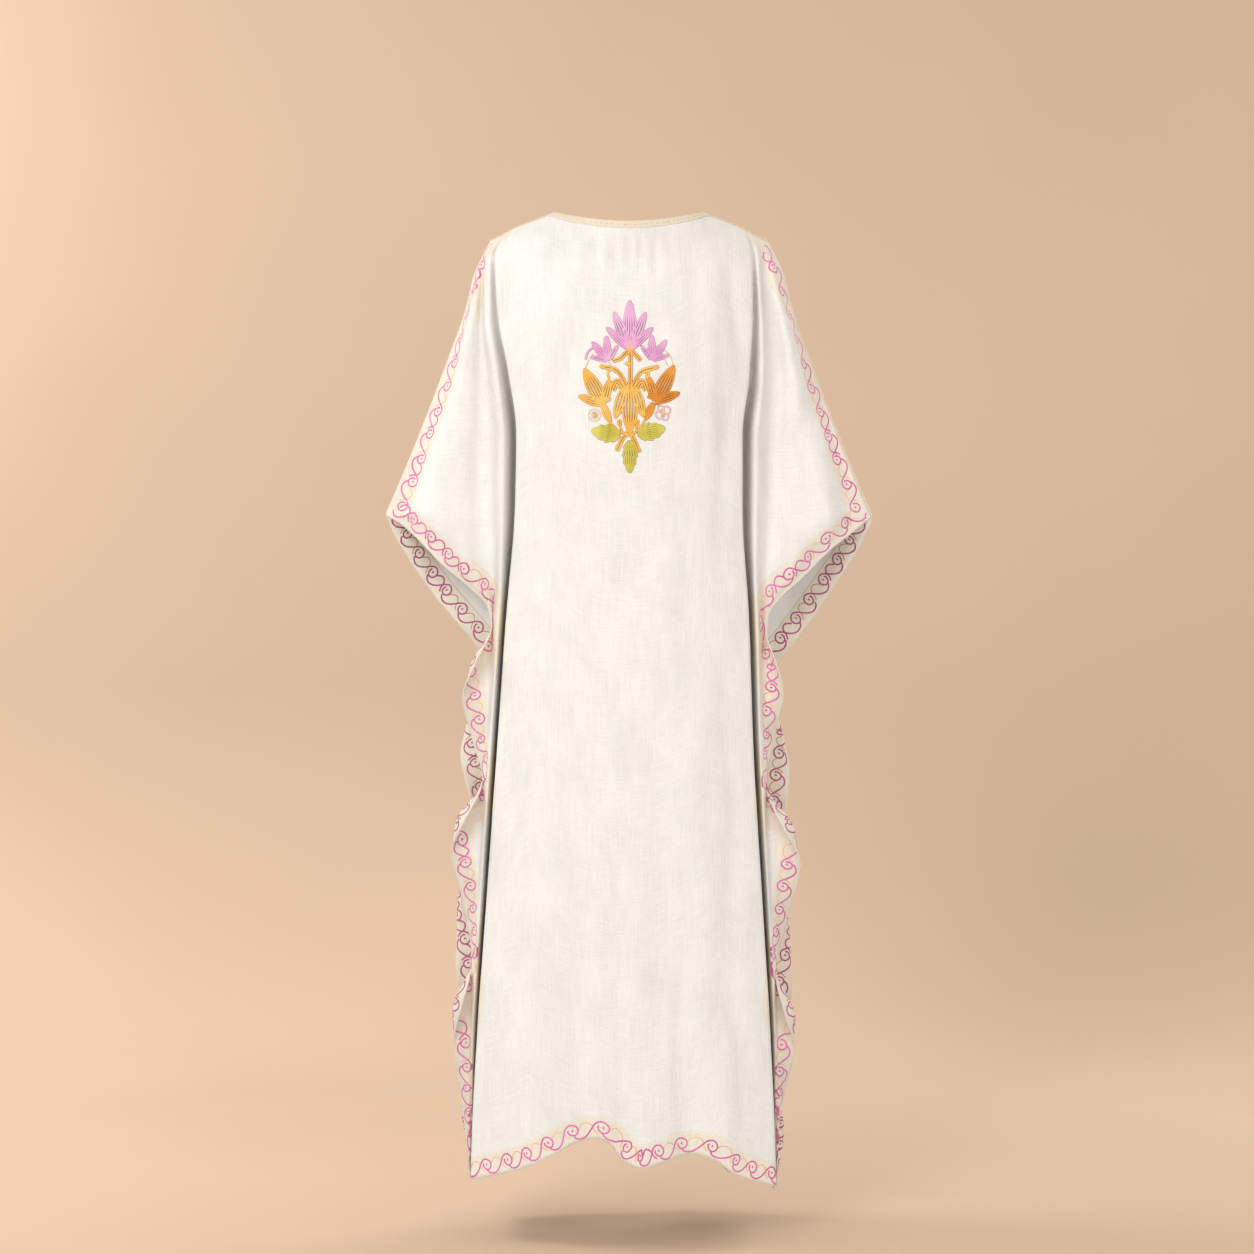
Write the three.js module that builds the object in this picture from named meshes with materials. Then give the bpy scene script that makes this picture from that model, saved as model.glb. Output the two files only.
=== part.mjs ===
// A full-length kaftan as it hangs on its wearer: two panels in a butterfly cut, sewn together
// along the shoulders and the tops of the sleeves, with a bias binding round the neck.
//
// Millimetres, +Z up, the wearer faces -Y. The origin lies midway between the two neck points of
// the shoulder seams. "Drop" is always the distance below the origin.
//
// Each panel is one wall of cloth. A row runs level from its centre line to its outer edge, by way
// of these stations: the turn, where the flat of the panel folds under; the groove behind it, which
// holds the side seam; the roll that stands beside it; the root of the sleeve or flange; and the
// outer edge.

import * as THREE from 'three';

// ---- Driving dimensions --------------------------------------------------------------------

const WALL = 1.4;              // thickness of the cloth wall
const SEAM_GAP = 0.3;          // clearance between two pieces that are sewn together
const NECK_HALF = 109;         // half the width of the neck opening
const SHOULDER_HALF = 200;     // from the centre to the end of the shoulder
const SHOULDER_DROP = 39;      // the shoulder end below the neck points
const SHOULDER_ROUND = 72;     // height over which the cloth rounds over the shoulder
const TIP_DROP = 443;          // the sleeve tips below the neck points
const HEM_DROP = 1404;         // the hem corners below the neck points
const BACK_NECK_DIP = 20;      // how far the back neckline dips at its centre
const BACK_NECK_REACH = 60;    // how far the back neckline stands behind the shoulder seam
const FRONT_NECK_DIP = 158;    // how deep the front neckline is, so that a head goes through
const FRONT_NECK_REACH = 100;
const BINDING_END = 117;       // the binding's outer corner on the shoulder seam
const BINDING_WALL = 0.9;
const BINDING_CLEAR = 0.5;     // between the binding and the curved panel under it

// ---- Tables ----------------------------------------------------------------------------------

// Height of the shoulder seam, by distance from the centre.
const SHOULDER_LINE = [
  { across: 109, drop: 0 },
  { across: 145, drop: 13 },
  { across: 178, drop: 27 },
  { across: 200, drop: 39 },
];

// Top of the sleeve, from the shoulder end to the tip.
const SLEEVE_TOP = [
  { drop: 39, across: 200 },
  { drop: 61, across: 212 },
  { drop: 90, across: 225 },
  { drop: 142, across: 238 },
  { drop: 210, across: 262 },
  { drop: 295, across: 294 },
  { drop: 368, across: 323 },
  { drop: 443, across: 355 },
];

// How far the middle of a panel stands out from the seam plane.
const MIDDLE = [
  { drop: 12, back: 70, front: 70 },
  { drop: 90, back: 100, front: 96 },
  { drop: 200, back: 119, front: 122 },
  { drop: 290, back: 121, front: 129 },
  { drop: 430, back: 113, front: 117 },
  { drop: 560, back: 109, front: 112 },
  { drop: 760, back: 114, front: 114 },
  { drop: 1050, back: 121, front: 121 },
  { drop: 1404, back: 131, front: 130 },
];

// The folds beside the flat of the panel. turnLeft and turnRight are the half width to the turn
// on each side and stand is how far the turn stands out. seamOut is the groove's distance outside
// the turn and seamStand its stand: from the underarm down, the two panels are sewn together
// there. The roll and the root are measured outward from the turn and back toward the seam plane.
const SIDE_SEAM_STAND = SEAM_GAP / 2 + WALL / 2;
const FOLDS = [
  { drop: 39, turnLeft: 170, turnRight: 168, stand: 30, seamOut: 6, seamStand: 28,
    rollOut: 12, rollDeep: 2, rootOut: 21, rootDeep: 6 },
  { drop: 80, turnLeft: 193, turnRight: 177, stand: 45, seamOut: 3, seamStand: 33,
    rollOut: 9, rollDeep: 5, rootOut: 18, rootDeep: 21 },
  { drop: 160, turnLeft: 190, turnRight: 178, stand: 60, seamOut: 3, seamStand: 34,
    rollOut: 12, rollDeep: 8, rootOut: 26, rootDeep: 37 },
  { drop: 250, turnLeft: 174, turnRight: 174, stand: 65, seamOut: 3, seamStand: 22,
    rollOut: 17, rollDeep: 8, rootOut: 35, rootDeep: 40 },
  { drop: 345, turnLeft: 162, turnRight: 163, stand: 63, seamOut: 3, seamStand: SIDE_SEAM_STAND,
    rollOut: 20, rollDeep: 9, rootOut: 41, rootDeep: 40 },
  { drop: 450, turnLeft: 164, turnRight: 163, stand: 61, seamOut: 3, seamStand: SIDE_SEAM_STAND,
    rollOut: 19, rollDeep: 10, rootOut: 38, rootDeep: 38 },
  { drop: 600, turnLeft: 176, turnRight: 172, stand: 60, seamOut: 3, seamStand: SIDE_SEAM_STAND,
    rollOut: 12, rollDeep: 11, rootOut: 22, rootDeep: 31 },
  { drop: 800, turnLeft: 190, turnRight: 179, stand: 63, seamOut: 3, seamStand: SIDE_SEAM_STAND,
    rollOut: 11, rollDeep: 14, rootOut: 18, rootDeep: 30 },
  { drop: 1000, turnLeft: 204, turnRight: 191, stand: 67, seamOut: 3, seamStand: SIDE_SEAM_STAND,
    rollOut: 10, rollDeep: 18, rootOut: 16, rootDeep: 32 },
  { drop: 1200, turnLeft: 218, turnRight: 203, stand: 71, seamOut: 2, seamStand: SIDE_SEAM_STAND,
    rollOut: 8, rollDeep: 27, rootOut: 13, rootDeep: 33 },
  { drop: 1330, turnLeft: 225, turnRight: 209, stand: 74, seamOut: 1, seamStand: SIDE_SEAM_STAND,
    rollOut: 4, rollDeep: 44, rootOut: 7, rootDeep: 40 },
  { drop: 1404, turnLeft: 227, turnRight: 211, stand: 76, seamOut: 0.5, seamStand: SIDE_SEAM_STAND,
    rollOut: 1.5, rollDeep: 61, rootOut: 2.5, rootDeep: 48 },
];

// Free outer edge of each panel below the sleeve tip: it swings in and out down the side like a
// ruffle. out is the distance from the centre, stand the distance from the seam plane, and curl
// how far the cloth behind the edge bulges beyond it where the edge turns back on itself.
const EDGE_BACK_LEFT = [
  { drop: 443, out: 355, stand: 0.15, curl: 0 },
  { drop: 455, out: 334, stand: 10, curl: 0 },
  { drop: 472, out: 314, stand: 18, curl: 0 },
  { drop: 514, out: 273, stand: 30, curl: 0 },
  { drop: 550, out: 231, stand: 34, curl: 0 },
  { drop: 580, out: 205, stand: 34, curl: 0 },
  { drop: 609, out: 199, stand: 36, curl: 0 },
  { drop: 660, out: 221, stand: 62, curl: 30 },
  { drop: 711, out: 241, stand: 40, curl: 10 },
  { drop: 772, out: 228, stand: 12, curl: 0 },
  { drop: 832, out: 212, stand: 32, curl: 2 },
  { drop: 886, out: 236, stand: 66, curl: 46 },
  { drop: 936, out: 258, stand: 42, curl: 12 },
  { drop: 1010, out: 240, stand: 12, curl: 0 },
  { drop: 1095, out: 228, stand: 32, curl: 2 },
  { drop: 1156, out: 241, stand: 64, curl: 36 },
  { drop: 1213, out: 254, stand: 42, curl: 8 },
  { drop: 1283, out: 246, stand: 16, curl: 0 },
  { drop: 1345, out: 237, stand: 24, curl: 0 },
  { drop: 1404, out: 230, stand: 44, curl: 0 },
];
const EDGE_BACK_RIGHT = [
  { drop: 443, out: 353, stand: 0.15, curl: 0 },
  { drop: 463, out: 328, stand: 12, curl: 0 },
  { drop: 492, out: 291, stand: 24, curl: 0 },
  { drop: 534, out: 248, stand: 34, curl: 0 },
  { drop: 560, out: 219, stand: 34, curl: 0 },
  { drop: 585, out: 203, stand: 34, curl: 0 },
  { drop: 614, out: 199, stand: 38, curl: 0 },
  { drop: 655, out: 212, stand: 56, curl: 12 },
  { drop: 697, out: 223, stand: 42, curl: 6 },
  { drop: 765, out: 210, stand: 12, curl: 0 },
  { drop: 835, out: 198, stand: 32, curl: 2 },
  { drop: 890, out: 222, stand: 64, curl: 50 },
  { drop: 945, out: 248, stand: 42, curl: 12 },
  { drop: 1025, out: 229, stand: 12, curl: 0 },
  { drop: 1097, out: 211, stand: 32, curl: 2 },
  { drop: 1160, out: 225, stand: 64, curl: 38 },
  { drop: 1210, out: 239, stand: 42, curl: 8 },
  { drop: 1273, out: 227, stand: 16, curl: 0 },
  { drop: 1335, out: 216, stand: 24, curl: 0 },
  { drop: 1404, out: 214, stand: 44, curl: 0 },
];
const EDGE_FRONT_LEFT = [
  { drop: 443, out: 355, stand: 0.15, curl: 0 },
  { drop: 470, out: 345, stand: 12, curl: 0 },
  { drop: 508, out: 323, stand: 26, curl: 0 },
  { drop: 558, out: 289, stand: 36, curl: 0 },
  { drop: 601, out: 253, stand: 36, curl: 0 },
  { drop: 640, out: 223, stand: 34, curl: 0 },
  { drop: 672, out: 214, stand: 36, curl: 2 },
  { drop: 735, out: 232, stand: 62, curl: 30 },
  { drop: 795, out: 248, stand: 42, curl: 10 },
  { drop: 860, out: 232, stand: 12, curl: 0 },
  { drop: 925, out: 221, stand: 32, curl: 2 },
  { drop: 1010, out: 240, stand: 66, curl: 40 },
  { drop: 1100, out: 255, stand: 42, curl: 10 },
  { drop: 1180, out: 243, stand: 14, curl: 0 },
  { drop: 1250, out: 233, stand: 32, curl: 2 },
  { drop: 1320, out: 239, stand: 56, curl: 20 },
  { drop: 1404, out: 230, stand: 44, curl: 0 },
];
const EDGE_FRONT_RIGHT = [
  { drop: 443, out: 353, stand: 0.15, curl: 0 },
  { drop: 473, out: 341, stand: 12, curl: 0 },
  { drop: 512, out: 318, stand: 26, curl: 0 },
  { drop: 563, out: 284, stand: 36, curl: 0 },
  { drop: 610, out: 249, stand: 36, curl: 0 },
  { drop: 650, out: 219, stand: 34, curl: 0 },
  { drop: 690, out: 207, stand: 36, curl: 2 },
  { drop: 748, out: 222, stand: 60, curl: 28 },
  { drop: 800, out: 236, stand: 42, curl: 12 },
  { drop: 868, out: 227, stand: 12, curl: 0 },
  { drop: 940, out: 212, stand: 32, curl: 2 },
  { drop: 1030, out: 227, stand: 66, curl: 34 },
  { drop: 1105, out: 240, stand: 42, curl: 10 },
  { drop: 1185, out: 230, stand: 14, curl: 0 },
  { drop: 1260, out: 217, stand: 32, curl: 2 },
  { drop: 1325, out: 221, stand: 54, curl: 18 },
  { drop: 1404, out: 214, stand: 44, curl: 0 },
];

// The hem, from the wearer's left (+X) to the right: its drop, and how far its waves stand proud.
const HEM_BACK = [
  { at: 230, drop: 1398, proud: 0 },
  { at: 175, drop: 1383, proud: 5 },
  { at: 142, drop: 1371, proud: 8 },
  { at: 108, drop: 1354, proud: 2 },
  { at: 73, drop: 1337, proud: -8 },
  { at: 46, drop: 1332, proud: -12 },
  { at: 26, drop: 1339, proud: -5 },
  { at: 10, drop: 1359, proud: 6 },
  { at: -18, drop: 1370, proud: 11 },
  { at: -50, drop: 1363, proud: 4 },
  { at: -90, drop: 1354, proud: -9 },
  { at: -122, drop: 1363, proud: -2 },
  { at: -150, drop: 1383, proud: 7 },
  { at: -214, drop: 1409, proud: 0 },
];
const HEM_FRONT = [
  { at: 230, drop: 1396, proud: 0 },
  { at: 165, drop: 1388, proud: 7 },
  { at: 118, drop: 1366, proud: -6 },
  { at: 66, drop: 1360, proud: -9 },
  { at: 22, drop: 1374, proud: 8 },
  { at: -30, drop: 1366, proud: 3 },
  { at: -82, drop: 1358, proud: -10 },
  { at: -120, drop: 1386, proud: 2 },
  { at: -152, drop: 1420, proud: 8 },
  { at: -214, drop: 1426, proud: 0 },
];
const HEM_WAVE_TOP = 860;      // where the waves of the hem begin, growing down to the hem

// Rows of the walls, as drops of the outer edge: close together over the shoulder, and one
// exactly at the sleeve tip.
const ROW_BANDS = [
  { to: SHOULDER_DROP + 18, steps: 3 },
  { to: SHOULDER_DROP + 72, steps: 3 },
  { to: TIP_DROP, steps: 7 },
  { to: 614, steps: 5 },
  { to: HEM_DROP, steps: 21 },
];

// Stations across the flat of a panel, as a share of its half width. The neck point is one, and so
// is the corner of the binding.
const TURN_AT_SEAM = 170;
const FLAT_STATIONS = [0, 0.16, 0.32, 0.48, 0.57, NECK_HALF / TURN_AT_SEAM, BINDING_END / TURN_AT_SEAM,
  0.86, 1];
const FOLD_STEPS = 3;          // steps from the turn to the groove, to the roll and to the root
const FLANGE_STEPS = 7;        // steps from the root to the outer edge

// ---- Reading the tables ----------------------------------------------------------------------

const blend = (from, to, share) => from + (to - from) * share;
const clamp01 = (value) => Math.min(1, Math.max(0, value));

// Slope of a table's column at one row, kept flat at a peak so that the curve never overshoots.
function slopeAt(table, key, column, i) {
  const rise = (k) => (table[k + 1][column] - table[k][column]) / (table[k + 1][key] - table[k][key]);
  if (i === 0) return rise(0);
  if (i === table.length - 1) return rise(i - 1);
  const before = rise(i - 1);
  const after = rise(i);
  if (before * after <= 0) return 0;
  return (2 * before * after) / (before + after);
}

// Smooth reading of a column between a table's rows, whose key may rise or fall.
function read(table, key, column, at) {
  const rising = table[1][key] > table[0][key];
  let i = 0;
  while (i < table.length - 2 && (rising ? at > table[i + 1][key] : at < table[i + 1][key])) i += 1;
  const span = table[i + 1][key] - table[i][key];
  const t = clamp01((at - table[i][key]) / span);
  const from = table[i][column];
  const to = table[i + 1][column];
  const leave = slopeAt(table, key, column, i) * span;
  const arrive = slopeAt(table, key, column, i + 1) * span;
  const t2 = t * t;
  const t3 = t2 * t;
  return (2 * t3 - 3 * t2 + 1) * from + (t3 - 2 * t2 + t) * leave
    + (3 * t2 - 2 * t3) * to + (t3 - t2) * arrive;
}

// ---- The two panels --------------------------------------------------------------------------

const BACK = {
  facing: 1,
  neckDip: BACK_NECK_DIP,
  neckReach: BACK_NECK_REACH,
  neckBend: 1,
  column: 'back',
  edge: { left: EDGE_BACK_LEFT, right: EDGE_BACK_RIGHT },
  hem: HEM_BACK,
};
const FRONT = {
  facing: -1,
  neckDip: FRONT_NECK_DIP,
  neckReach: FRONT_NECK_REACH,
  neckBend: 0.8,
  column: 'front',
  edge: { left: EDGE_FRONT_LEFT, right: EDGE_FRONT_RIGHT },
  hem: HEM_FRONT,
};

// Drop and stand of a panel's top edge, at a distance from the centre: the neckline, then the seam.
function topEdge(panel, across) {
  if (across >= NECK_HALF) {
    return { drop: read(SHOULDER_LINE, 'across', 'drop', across), stand: SEAM_GAP / 2 };
  }
  const inside = 1 - (across / NECK_HALF) ** 2;
  return {
    drop: panel.neckDip * inside ** panel.neckBend,
    stand: SEAM_GAP / 2 + panel.neckReach * inside ** 0.75,
  };
}

// Outer edge of a panel at a drop: the sleeve's top seam down to the tip, then the free edge.
function outerEdge(panel, side, drop) {
  if (drop <= TIP_DROP) {
    return { out: read(SLEEVE_TOP, 'drop', 'across', drop), stand: SEAM_GAP / 2, curl: 0 };
  }
  const table = panel.edge[side];
  return {
    out: read(table, 'drop', 'out', drop),
    stand: read(table, 'drop', 'stand', drop),
    curl: read(table, 'drop', 'curl', drop),
  };
}

// The stations of one row in plan, each with its distance out and its stand.
function stations(panel, side, drop) {
  const fold = (column) => read(FOLDS, 'drop', column, drop);
  const turn = { out: fold(side === 'left' ? 'turnLeft' : 'turnRight'), stand: fold('stand') };
  const fromTurn = (out, deep) => ({ out: turn.out + out, stand: turn.stand - deep });
  return {
    turn,
    groove: { out: turn.out + fold('seamOut'), stand: fold('seamStand') },
    roll: fromTurn(fold('rollOut'), fold('rollDeep')),
    root: fromTurn(fold('rootOut'), fold('rootDeep')),
    edge: outerEdge(panel, side, drop),
  };
}

// From the turn down into the groove: a steep quarter of an ellipse.
function intoGroove(turn, groove, share) {
  const angle = (Math.PI / 2) * share;
  return {
    out: blend(turn.out, groove.out, 1 - Math.cos(angle)),
    stand: blend(turn.stand, groove.stand, Math.sin(angle)),
  };
}

// A soft rise or fall between two stations, level at both.
function softStep(from, to, share) {
  const eased = (1 - Math.cos(Math.PI * share)) / 2;
  return { out: blend(from.out, to.out, share), stand: blend(from.stand, to.stand, eased) };
}

// The sleeve, or the flange under it, from its root to the outer edge. The sleeve swells over the
// arm, and the flange curls.
const SLEEVE_SWELL = 28;
function flange(root, edge, drop, share) {
  const lean = blend(root.out, edge.out, 0.5) + edge.curl;
  const depth = blend(root.stand, edge.stand, 0.5) - 0.35 * edge.curl;
  const [a, b, c] = [(1 - share) ** 2, 2 * share * (1 - share), share ** 2];
  const swell = SLEEVE_SWELL * clamp01((drop - SHOULDER_DROP) / 150) * clamp01((600 - drop) / 150);
  const profile = Math.sin(Math.PI * share) ** 2;
  return {
    out: a * root.out + b * lean + c * edge.out,
    stand: a * root.stand + b * depth + c * edge.stand + swell * profile,
  };
}

// Place in plan of a station on the folds or the sleeve: `across` runs 1 to 4 over the folds and 4
// to 5 over the sleeve or flange.
function beyondTurn(row, across, drop) {
  if (across <= 2) return intoGroove(row.turn, row.groove, across - 1);
  if (across <= 3) return softStep(row.groove, row.roll, across - 2);
  if (across <= 4) return softStep(row.roll, row.root, across - 3);
  return flange(row.root, row.edge, drop, across - 4);
}

// Mid-surface of a panel. `across` runs 0 to 1 over its flat and on to 5 beyond the turn; `drop`
// is that of the outer edge on the same row.
function pointOn(panel, side, across, drop) {
  const row = stations(panel, side, drop);
  const mirror = side === 'left' ? 1 : -1;
  const onFlat = across <= 1;
  const place = onFlat ? { out: across * row.turn.out, stand: 0 } : beyondTurn(row, across, drop);
  const seamOut = onFlat ? across * TURN_AT_SEAM : blend(TURN_AT_SEAM, SHOULDER_HALF, (across - 1) / 4);
  const top = topEdge(panel, seamOut);
  const hemDrop = read(panel.hem, 'at', 'drop', mirror * place.out);
  const ownDrop = blend(top.drop, hemDrop, (drop - SHOULDER_DROP) / (HEM_DROP - SHOULDER_DROP));
  if (onFlat) {
    const middle = read(MIDDLE, 'drop', panel.column, ownDrop);
    const wave = clamp01((drop - HEM_WAVE_TOP) / (HEM_DROP - HEM_WAVE_TOP)) ** 1.5;
    const proud = wave * (1 - across ** 4) * read(panel.hem, 'at', 'proud', mirror * place.out);
    place.stand = proud + blend(row.turn.stand, middle, Math.cos((Math.PI / 2) * across ** 1.3));
  }
  const fall = clamp01((ownDrop - top.drop) / SHOULDER_ROUND);
  const overNeck = clamp01(1.4 - seamOut / NECK_HALF);
  const round = blend(Math.sqrt(1 - (1 - fall) ** 2), Math.sin((Math.PI / 2) * fall), overNeck);
  const stand = blend(top.stand, place.stand, round);
  return new THREE.Vector3(mirror * place.out, panel.facing * stand, -ownDrop);
}

// Outward normal of a panel, from small steps both ways on its mid-surface. On a seam it is
// turned square to the seam plane, so that the two panels keep their gap.
function normalOn(panel, side, across, drop) {
  const stepAcross = 0.02;
  const stepDown = 1.5;
  const clampAcross = (value) => Math.min(5, Math.max(0, value));
  const clampDrop = (value) => Math.min(HEM_DROP, Math.max(SHOULDER_DROP, value));
  const near = pointOn(panel, side, clampAcross(across - stepAcross), drop);
  const far = pointOn(panel, side, clampAcross(across + stepAcross), drop);
  const above = pointOn(panel, side, across, clampDrop(drop - stepDown));
  const below = pointOn(panel, side, across, clampDrop(drop + stepDown));
  const normal = far.sub(near).cross(below.sub(above));
  if (across === 0) normal.x = 0;
  const onSleeveSeam = across === 5 && drop <= TIP_DROP;
  const onShoulderSeam = drop === SHOULDER_DROP && across * TURN_AT_SEAM >= NECK_HALF - 0.01;
  if (onSleeveSeam || onShoulderSeam) {
    normal.set(Math.abs(normal.x), 0, Math.abs(normal.z) + 1e-6);
    if (side === 'right') normal.x = -normal.x;
    return normal.normalize();
  }
  const outward = (side === 'left' ? 1 : -1) * panel.facing;
  return normal.multiplyScalar(outward).normalize();
}

// Every row's drop, from the bands.
function rowDrops() {
  const drops = [SHOULDER_DROP];
  for (const band of ROW_BANDS) {
    const start = drops[drops.length - 1];
    for (let k = 1; k <= band.steps; k += 1) drops.push(blend(start, band.to, k / band.steps));
  }
  return drops;
}

// Every station across a whole panel, from the left edge to the right edge.
function acrossStations() {
  const half = [...FLAT_STATIONS];
  for (let leg = 1; leg <= 3; leg += 1) {
    for (let k = 1; k <= FOLD_STEPS; k += 1) half.push(leg + k / FOLD_STEPS);
  }
  for (let k = 1; k <= FLANGE_STEPS; k += 1) half.push(4 + k / FLANGE_STEPS);
  const left = half.slice(1).reverse().map((across) => ({ side: 'left', across }));
  const right = half.map((across) => ({ side: 'right', across }));
  return [...left, ...right];
}

// Closes a grid of points into a wall: an outer face, an inner face and a rim all round.
function wallGeometry(outer, inner, flip) {
  const rows = outer.length;
  const columns = outer[0].length;
  const positions = [];
  for (const face of [outer, inner]) {
    for (const row of face) {
      for (const point of row) positions.push(point.x, point.y, point.z);
    }
  }
  const outerAt = (i, j) => i * columns + j;
  const innerAt = (i, j) => rows * columns + i * columns + j;
  const index = [];
  const quad = (a, b, c, d) => {
    if (flip) index.push(a, c, b, a, d, c);
    else index.push(a, b, c, a, c, d);
  };
  for (let i = 0; i < rows - 1; i += 1) {
    for (let j = 0; j < columns - 1; j += 1) {
      quad(outerAt(i, j), outerAt(i + 1, j), outerAt(i + 1, j + 1), outerAt(i, j + 1));
      quad(innerAt(i, j), innerAt(i, j + 1), innerAt(i + 1, j + 1), innerAt(i + 1, j));
    }
  }
  for (let j = 0; j < columns - 1; j += 1) {
    quad(outerAt(0, j), outerAt(0, j + 1), innerAt(0, j + 1), innerAt(0, j));
    quad(outerAt(rows - 1, j), innerAt(rows - 1, j), innerAt(rows - 1, j + 1), outerAt(rows - 1, j + 1));
  }
  for (let i = 0; i < rows - 1; i += 1) {
    quad(outerAt(i, 0), innerAt(i, 0), innerAt(i + 1, 0), outerAt(i + 1, 0));
    quad(outerAt(i, columns - 1), outerAt(i + 1, columns - 1), innerAt(i + 1, columns - 1),
      innerAt(i, columns - 1));
  }
  const geometry = new THREE.BufferGeometry();
  geometry.setAttribute('position', new THREE.Float32BufferAttribute(positions, 3));
  geometry.setIndex(index);
  geometry.computeVertexNormals();
  return geometry;
}

function panelGeometry(panel) {
  const across = acrossStations();
  const outer = [];
  const inner = [];
  for (const drop of rowDrops()) {
    const pairs = across.map((station) => ({
      point: pointOn(panel, station.side, station.across, drop),
      normal: normalOn(panel, station.side, station.across, drop),
    }));
    outer.push(pairs.map(({ point, normal }) => point.clone().addScaledVector(normal, WALL / 2)));
    inner.push(pairs.map(({ point, normal }) => point.clone().addScaledVector(normal, -WALL / 2)));
  }
  return wallGeometry(outer, inner, panel.facing < 0);
}

// ---- The neck binding ------------------------------------------------------------------------

// A strip laid on the panel along its neckline, made from the panel's own points moved out. Its
// lower edge is given by how far it reaches down each of the panel's columns: more near the neck
// point of the front, where the neckline runs along them.
const BINDING_REACH = [
  { across: 0, back: 10, front: 12 },
  { across: 54, back: 10, front: 13 },
  { across: 82, back: 10, front: 16 },
  { across: 96, back: 10, front: 20 },
  { across: NECK_HALF, back: 8, front: 15 },
  { across: BINDING_END, back: 4, front: 5 },
];
const BINDING_ROWS = 3;
function bindingGeometry(panel) {
  const across = acrossStations().filter((station) => station.across <= BINDING_END / TURN_AT_SEAM);
  const outer = [];
  const inner = [];
  const clear = WALL / 2 + BINDING_CLEAR;
  for (let k = 0; k <= BINDING_ROWS; k += 1) {
    const pairs = across.map(({ side, across: station }) => {
      const reach = read(BINDING_REACH, 'across', panel.column, station * TURN_AT_SEAM);
      const drop = SHOULDER_DROP + (reach * k) / BINDING_ROWS;
      return { point: pointOn(panel, side, station, drop), normal: normalOn(panel, side, station, drop) };
    });
    outer.push(pairs.map(({ point, normal }) =>
      point.clone().addScaledVector(normal, clear + BINDING_WALL)));
    inner.push(pairs.map(({ point, normal }) => point.clone().addScaledVector(normal, clear)));
  }
  return wallGeometry(outer, inner, panel.facing < 0);
}

// ---- Assembly --------------------------------------------------------------------------------

const cotton = new THREE.MeshStandardMaterial({ color: 0xf3eee2, roughness: 0.92, metalness: 0 });
const binding = new THREE.MeshStandardMaterial({ color: 0xf0dcc0, roughness: 0.85, metalness: 0 });

function piece(name, geometry, material) {
  const mesh = new THREE.Mesh(geometry, material);
  mesh.name = name;
  return mesh;
}

const kaftan = new THREE.Group();
kaftan.add(
  piece('back_panel', panelGeometry(BACK), cotton),
  piece('front_panel', panelGeometry(FRONT), cotton),
  piece('neck_binding_back', bindingGeometry(BACK), binding),
  piece('neck_binding_front', bindingGeometry(FRONT), binding),
);

export default kaftan;
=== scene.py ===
"""Looks for a full-length embroidered kaftan: cloth panels, neck binding, embroidery and stage.

Sizes in the tables are millimetres and "drop" is the distance below the origin, which lies midway
between the two neck points of the shoulder seams. The wearer faces -Y and their left is +X.
"""

import math

import bpy
import numpy as np
from bpy.props import FloatProperty, FloatVectorProperty, PointerProperty
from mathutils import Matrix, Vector
from mathutils.kdtree import KDTree


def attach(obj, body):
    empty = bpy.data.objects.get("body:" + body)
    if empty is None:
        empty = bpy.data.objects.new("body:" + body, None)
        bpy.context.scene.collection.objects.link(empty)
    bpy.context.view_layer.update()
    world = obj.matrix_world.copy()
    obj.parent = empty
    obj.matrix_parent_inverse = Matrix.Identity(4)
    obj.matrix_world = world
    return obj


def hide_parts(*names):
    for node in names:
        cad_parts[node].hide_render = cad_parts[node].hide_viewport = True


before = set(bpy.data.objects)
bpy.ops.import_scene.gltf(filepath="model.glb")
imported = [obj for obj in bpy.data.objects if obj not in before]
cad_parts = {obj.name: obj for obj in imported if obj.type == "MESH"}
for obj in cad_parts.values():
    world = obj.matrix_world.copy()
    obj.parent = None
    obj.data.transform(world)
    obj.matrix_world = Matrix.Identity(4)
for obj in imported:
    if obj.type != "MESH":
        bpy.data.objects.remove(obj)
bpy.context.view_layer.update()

bl_info = {
    "name": "Kaftan looks",
    "version": (1, 0, 0),
    "blender": (4, 5, 0),
    "location": "3D View > Sidebar > Kaftan",
    "description": "Builds the cloth, the binding and the embroidery of a worn kaftan",
    "category": "Object",
}

MM = 0.001


def srgb(red, green, blue):
    """Linear colour of three screen values from 0 to 255."""
    values = (red / 255, green / 255, blue / 255)
    return tuple(v / 12.92 if v <= 0.04045 else ((v + 0.055) / 1.055) ** 2.4 for v in values)


def columns(names, *rows):
    """A table of named columns, read row by row."""
    return {name: np.array(values, float) for name, values in zip(names.split(), zip(*rows))}


def table_rows(table):
    """The rows of a table, with its columns in their own order."""
    return zip(*table.values())


# ---- The garment's form ------------------------------------------------------------------------

NECK_HALF = 109.0
SHOULDER_HALF = 200.0
SHOULDER_DROP = 39.0
SHOULDER_ROUND = 72.0
TIP_DROP = 443.0
HEM_DROP = 1404.0
HEM_WAVE_TOP = 860.0
TURN_AT_SEAM = 170.0
SLEEVE_SWELL = 28.0
SEAM_STAND = 0.15
SIDE_STAND = 0.85

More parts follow.
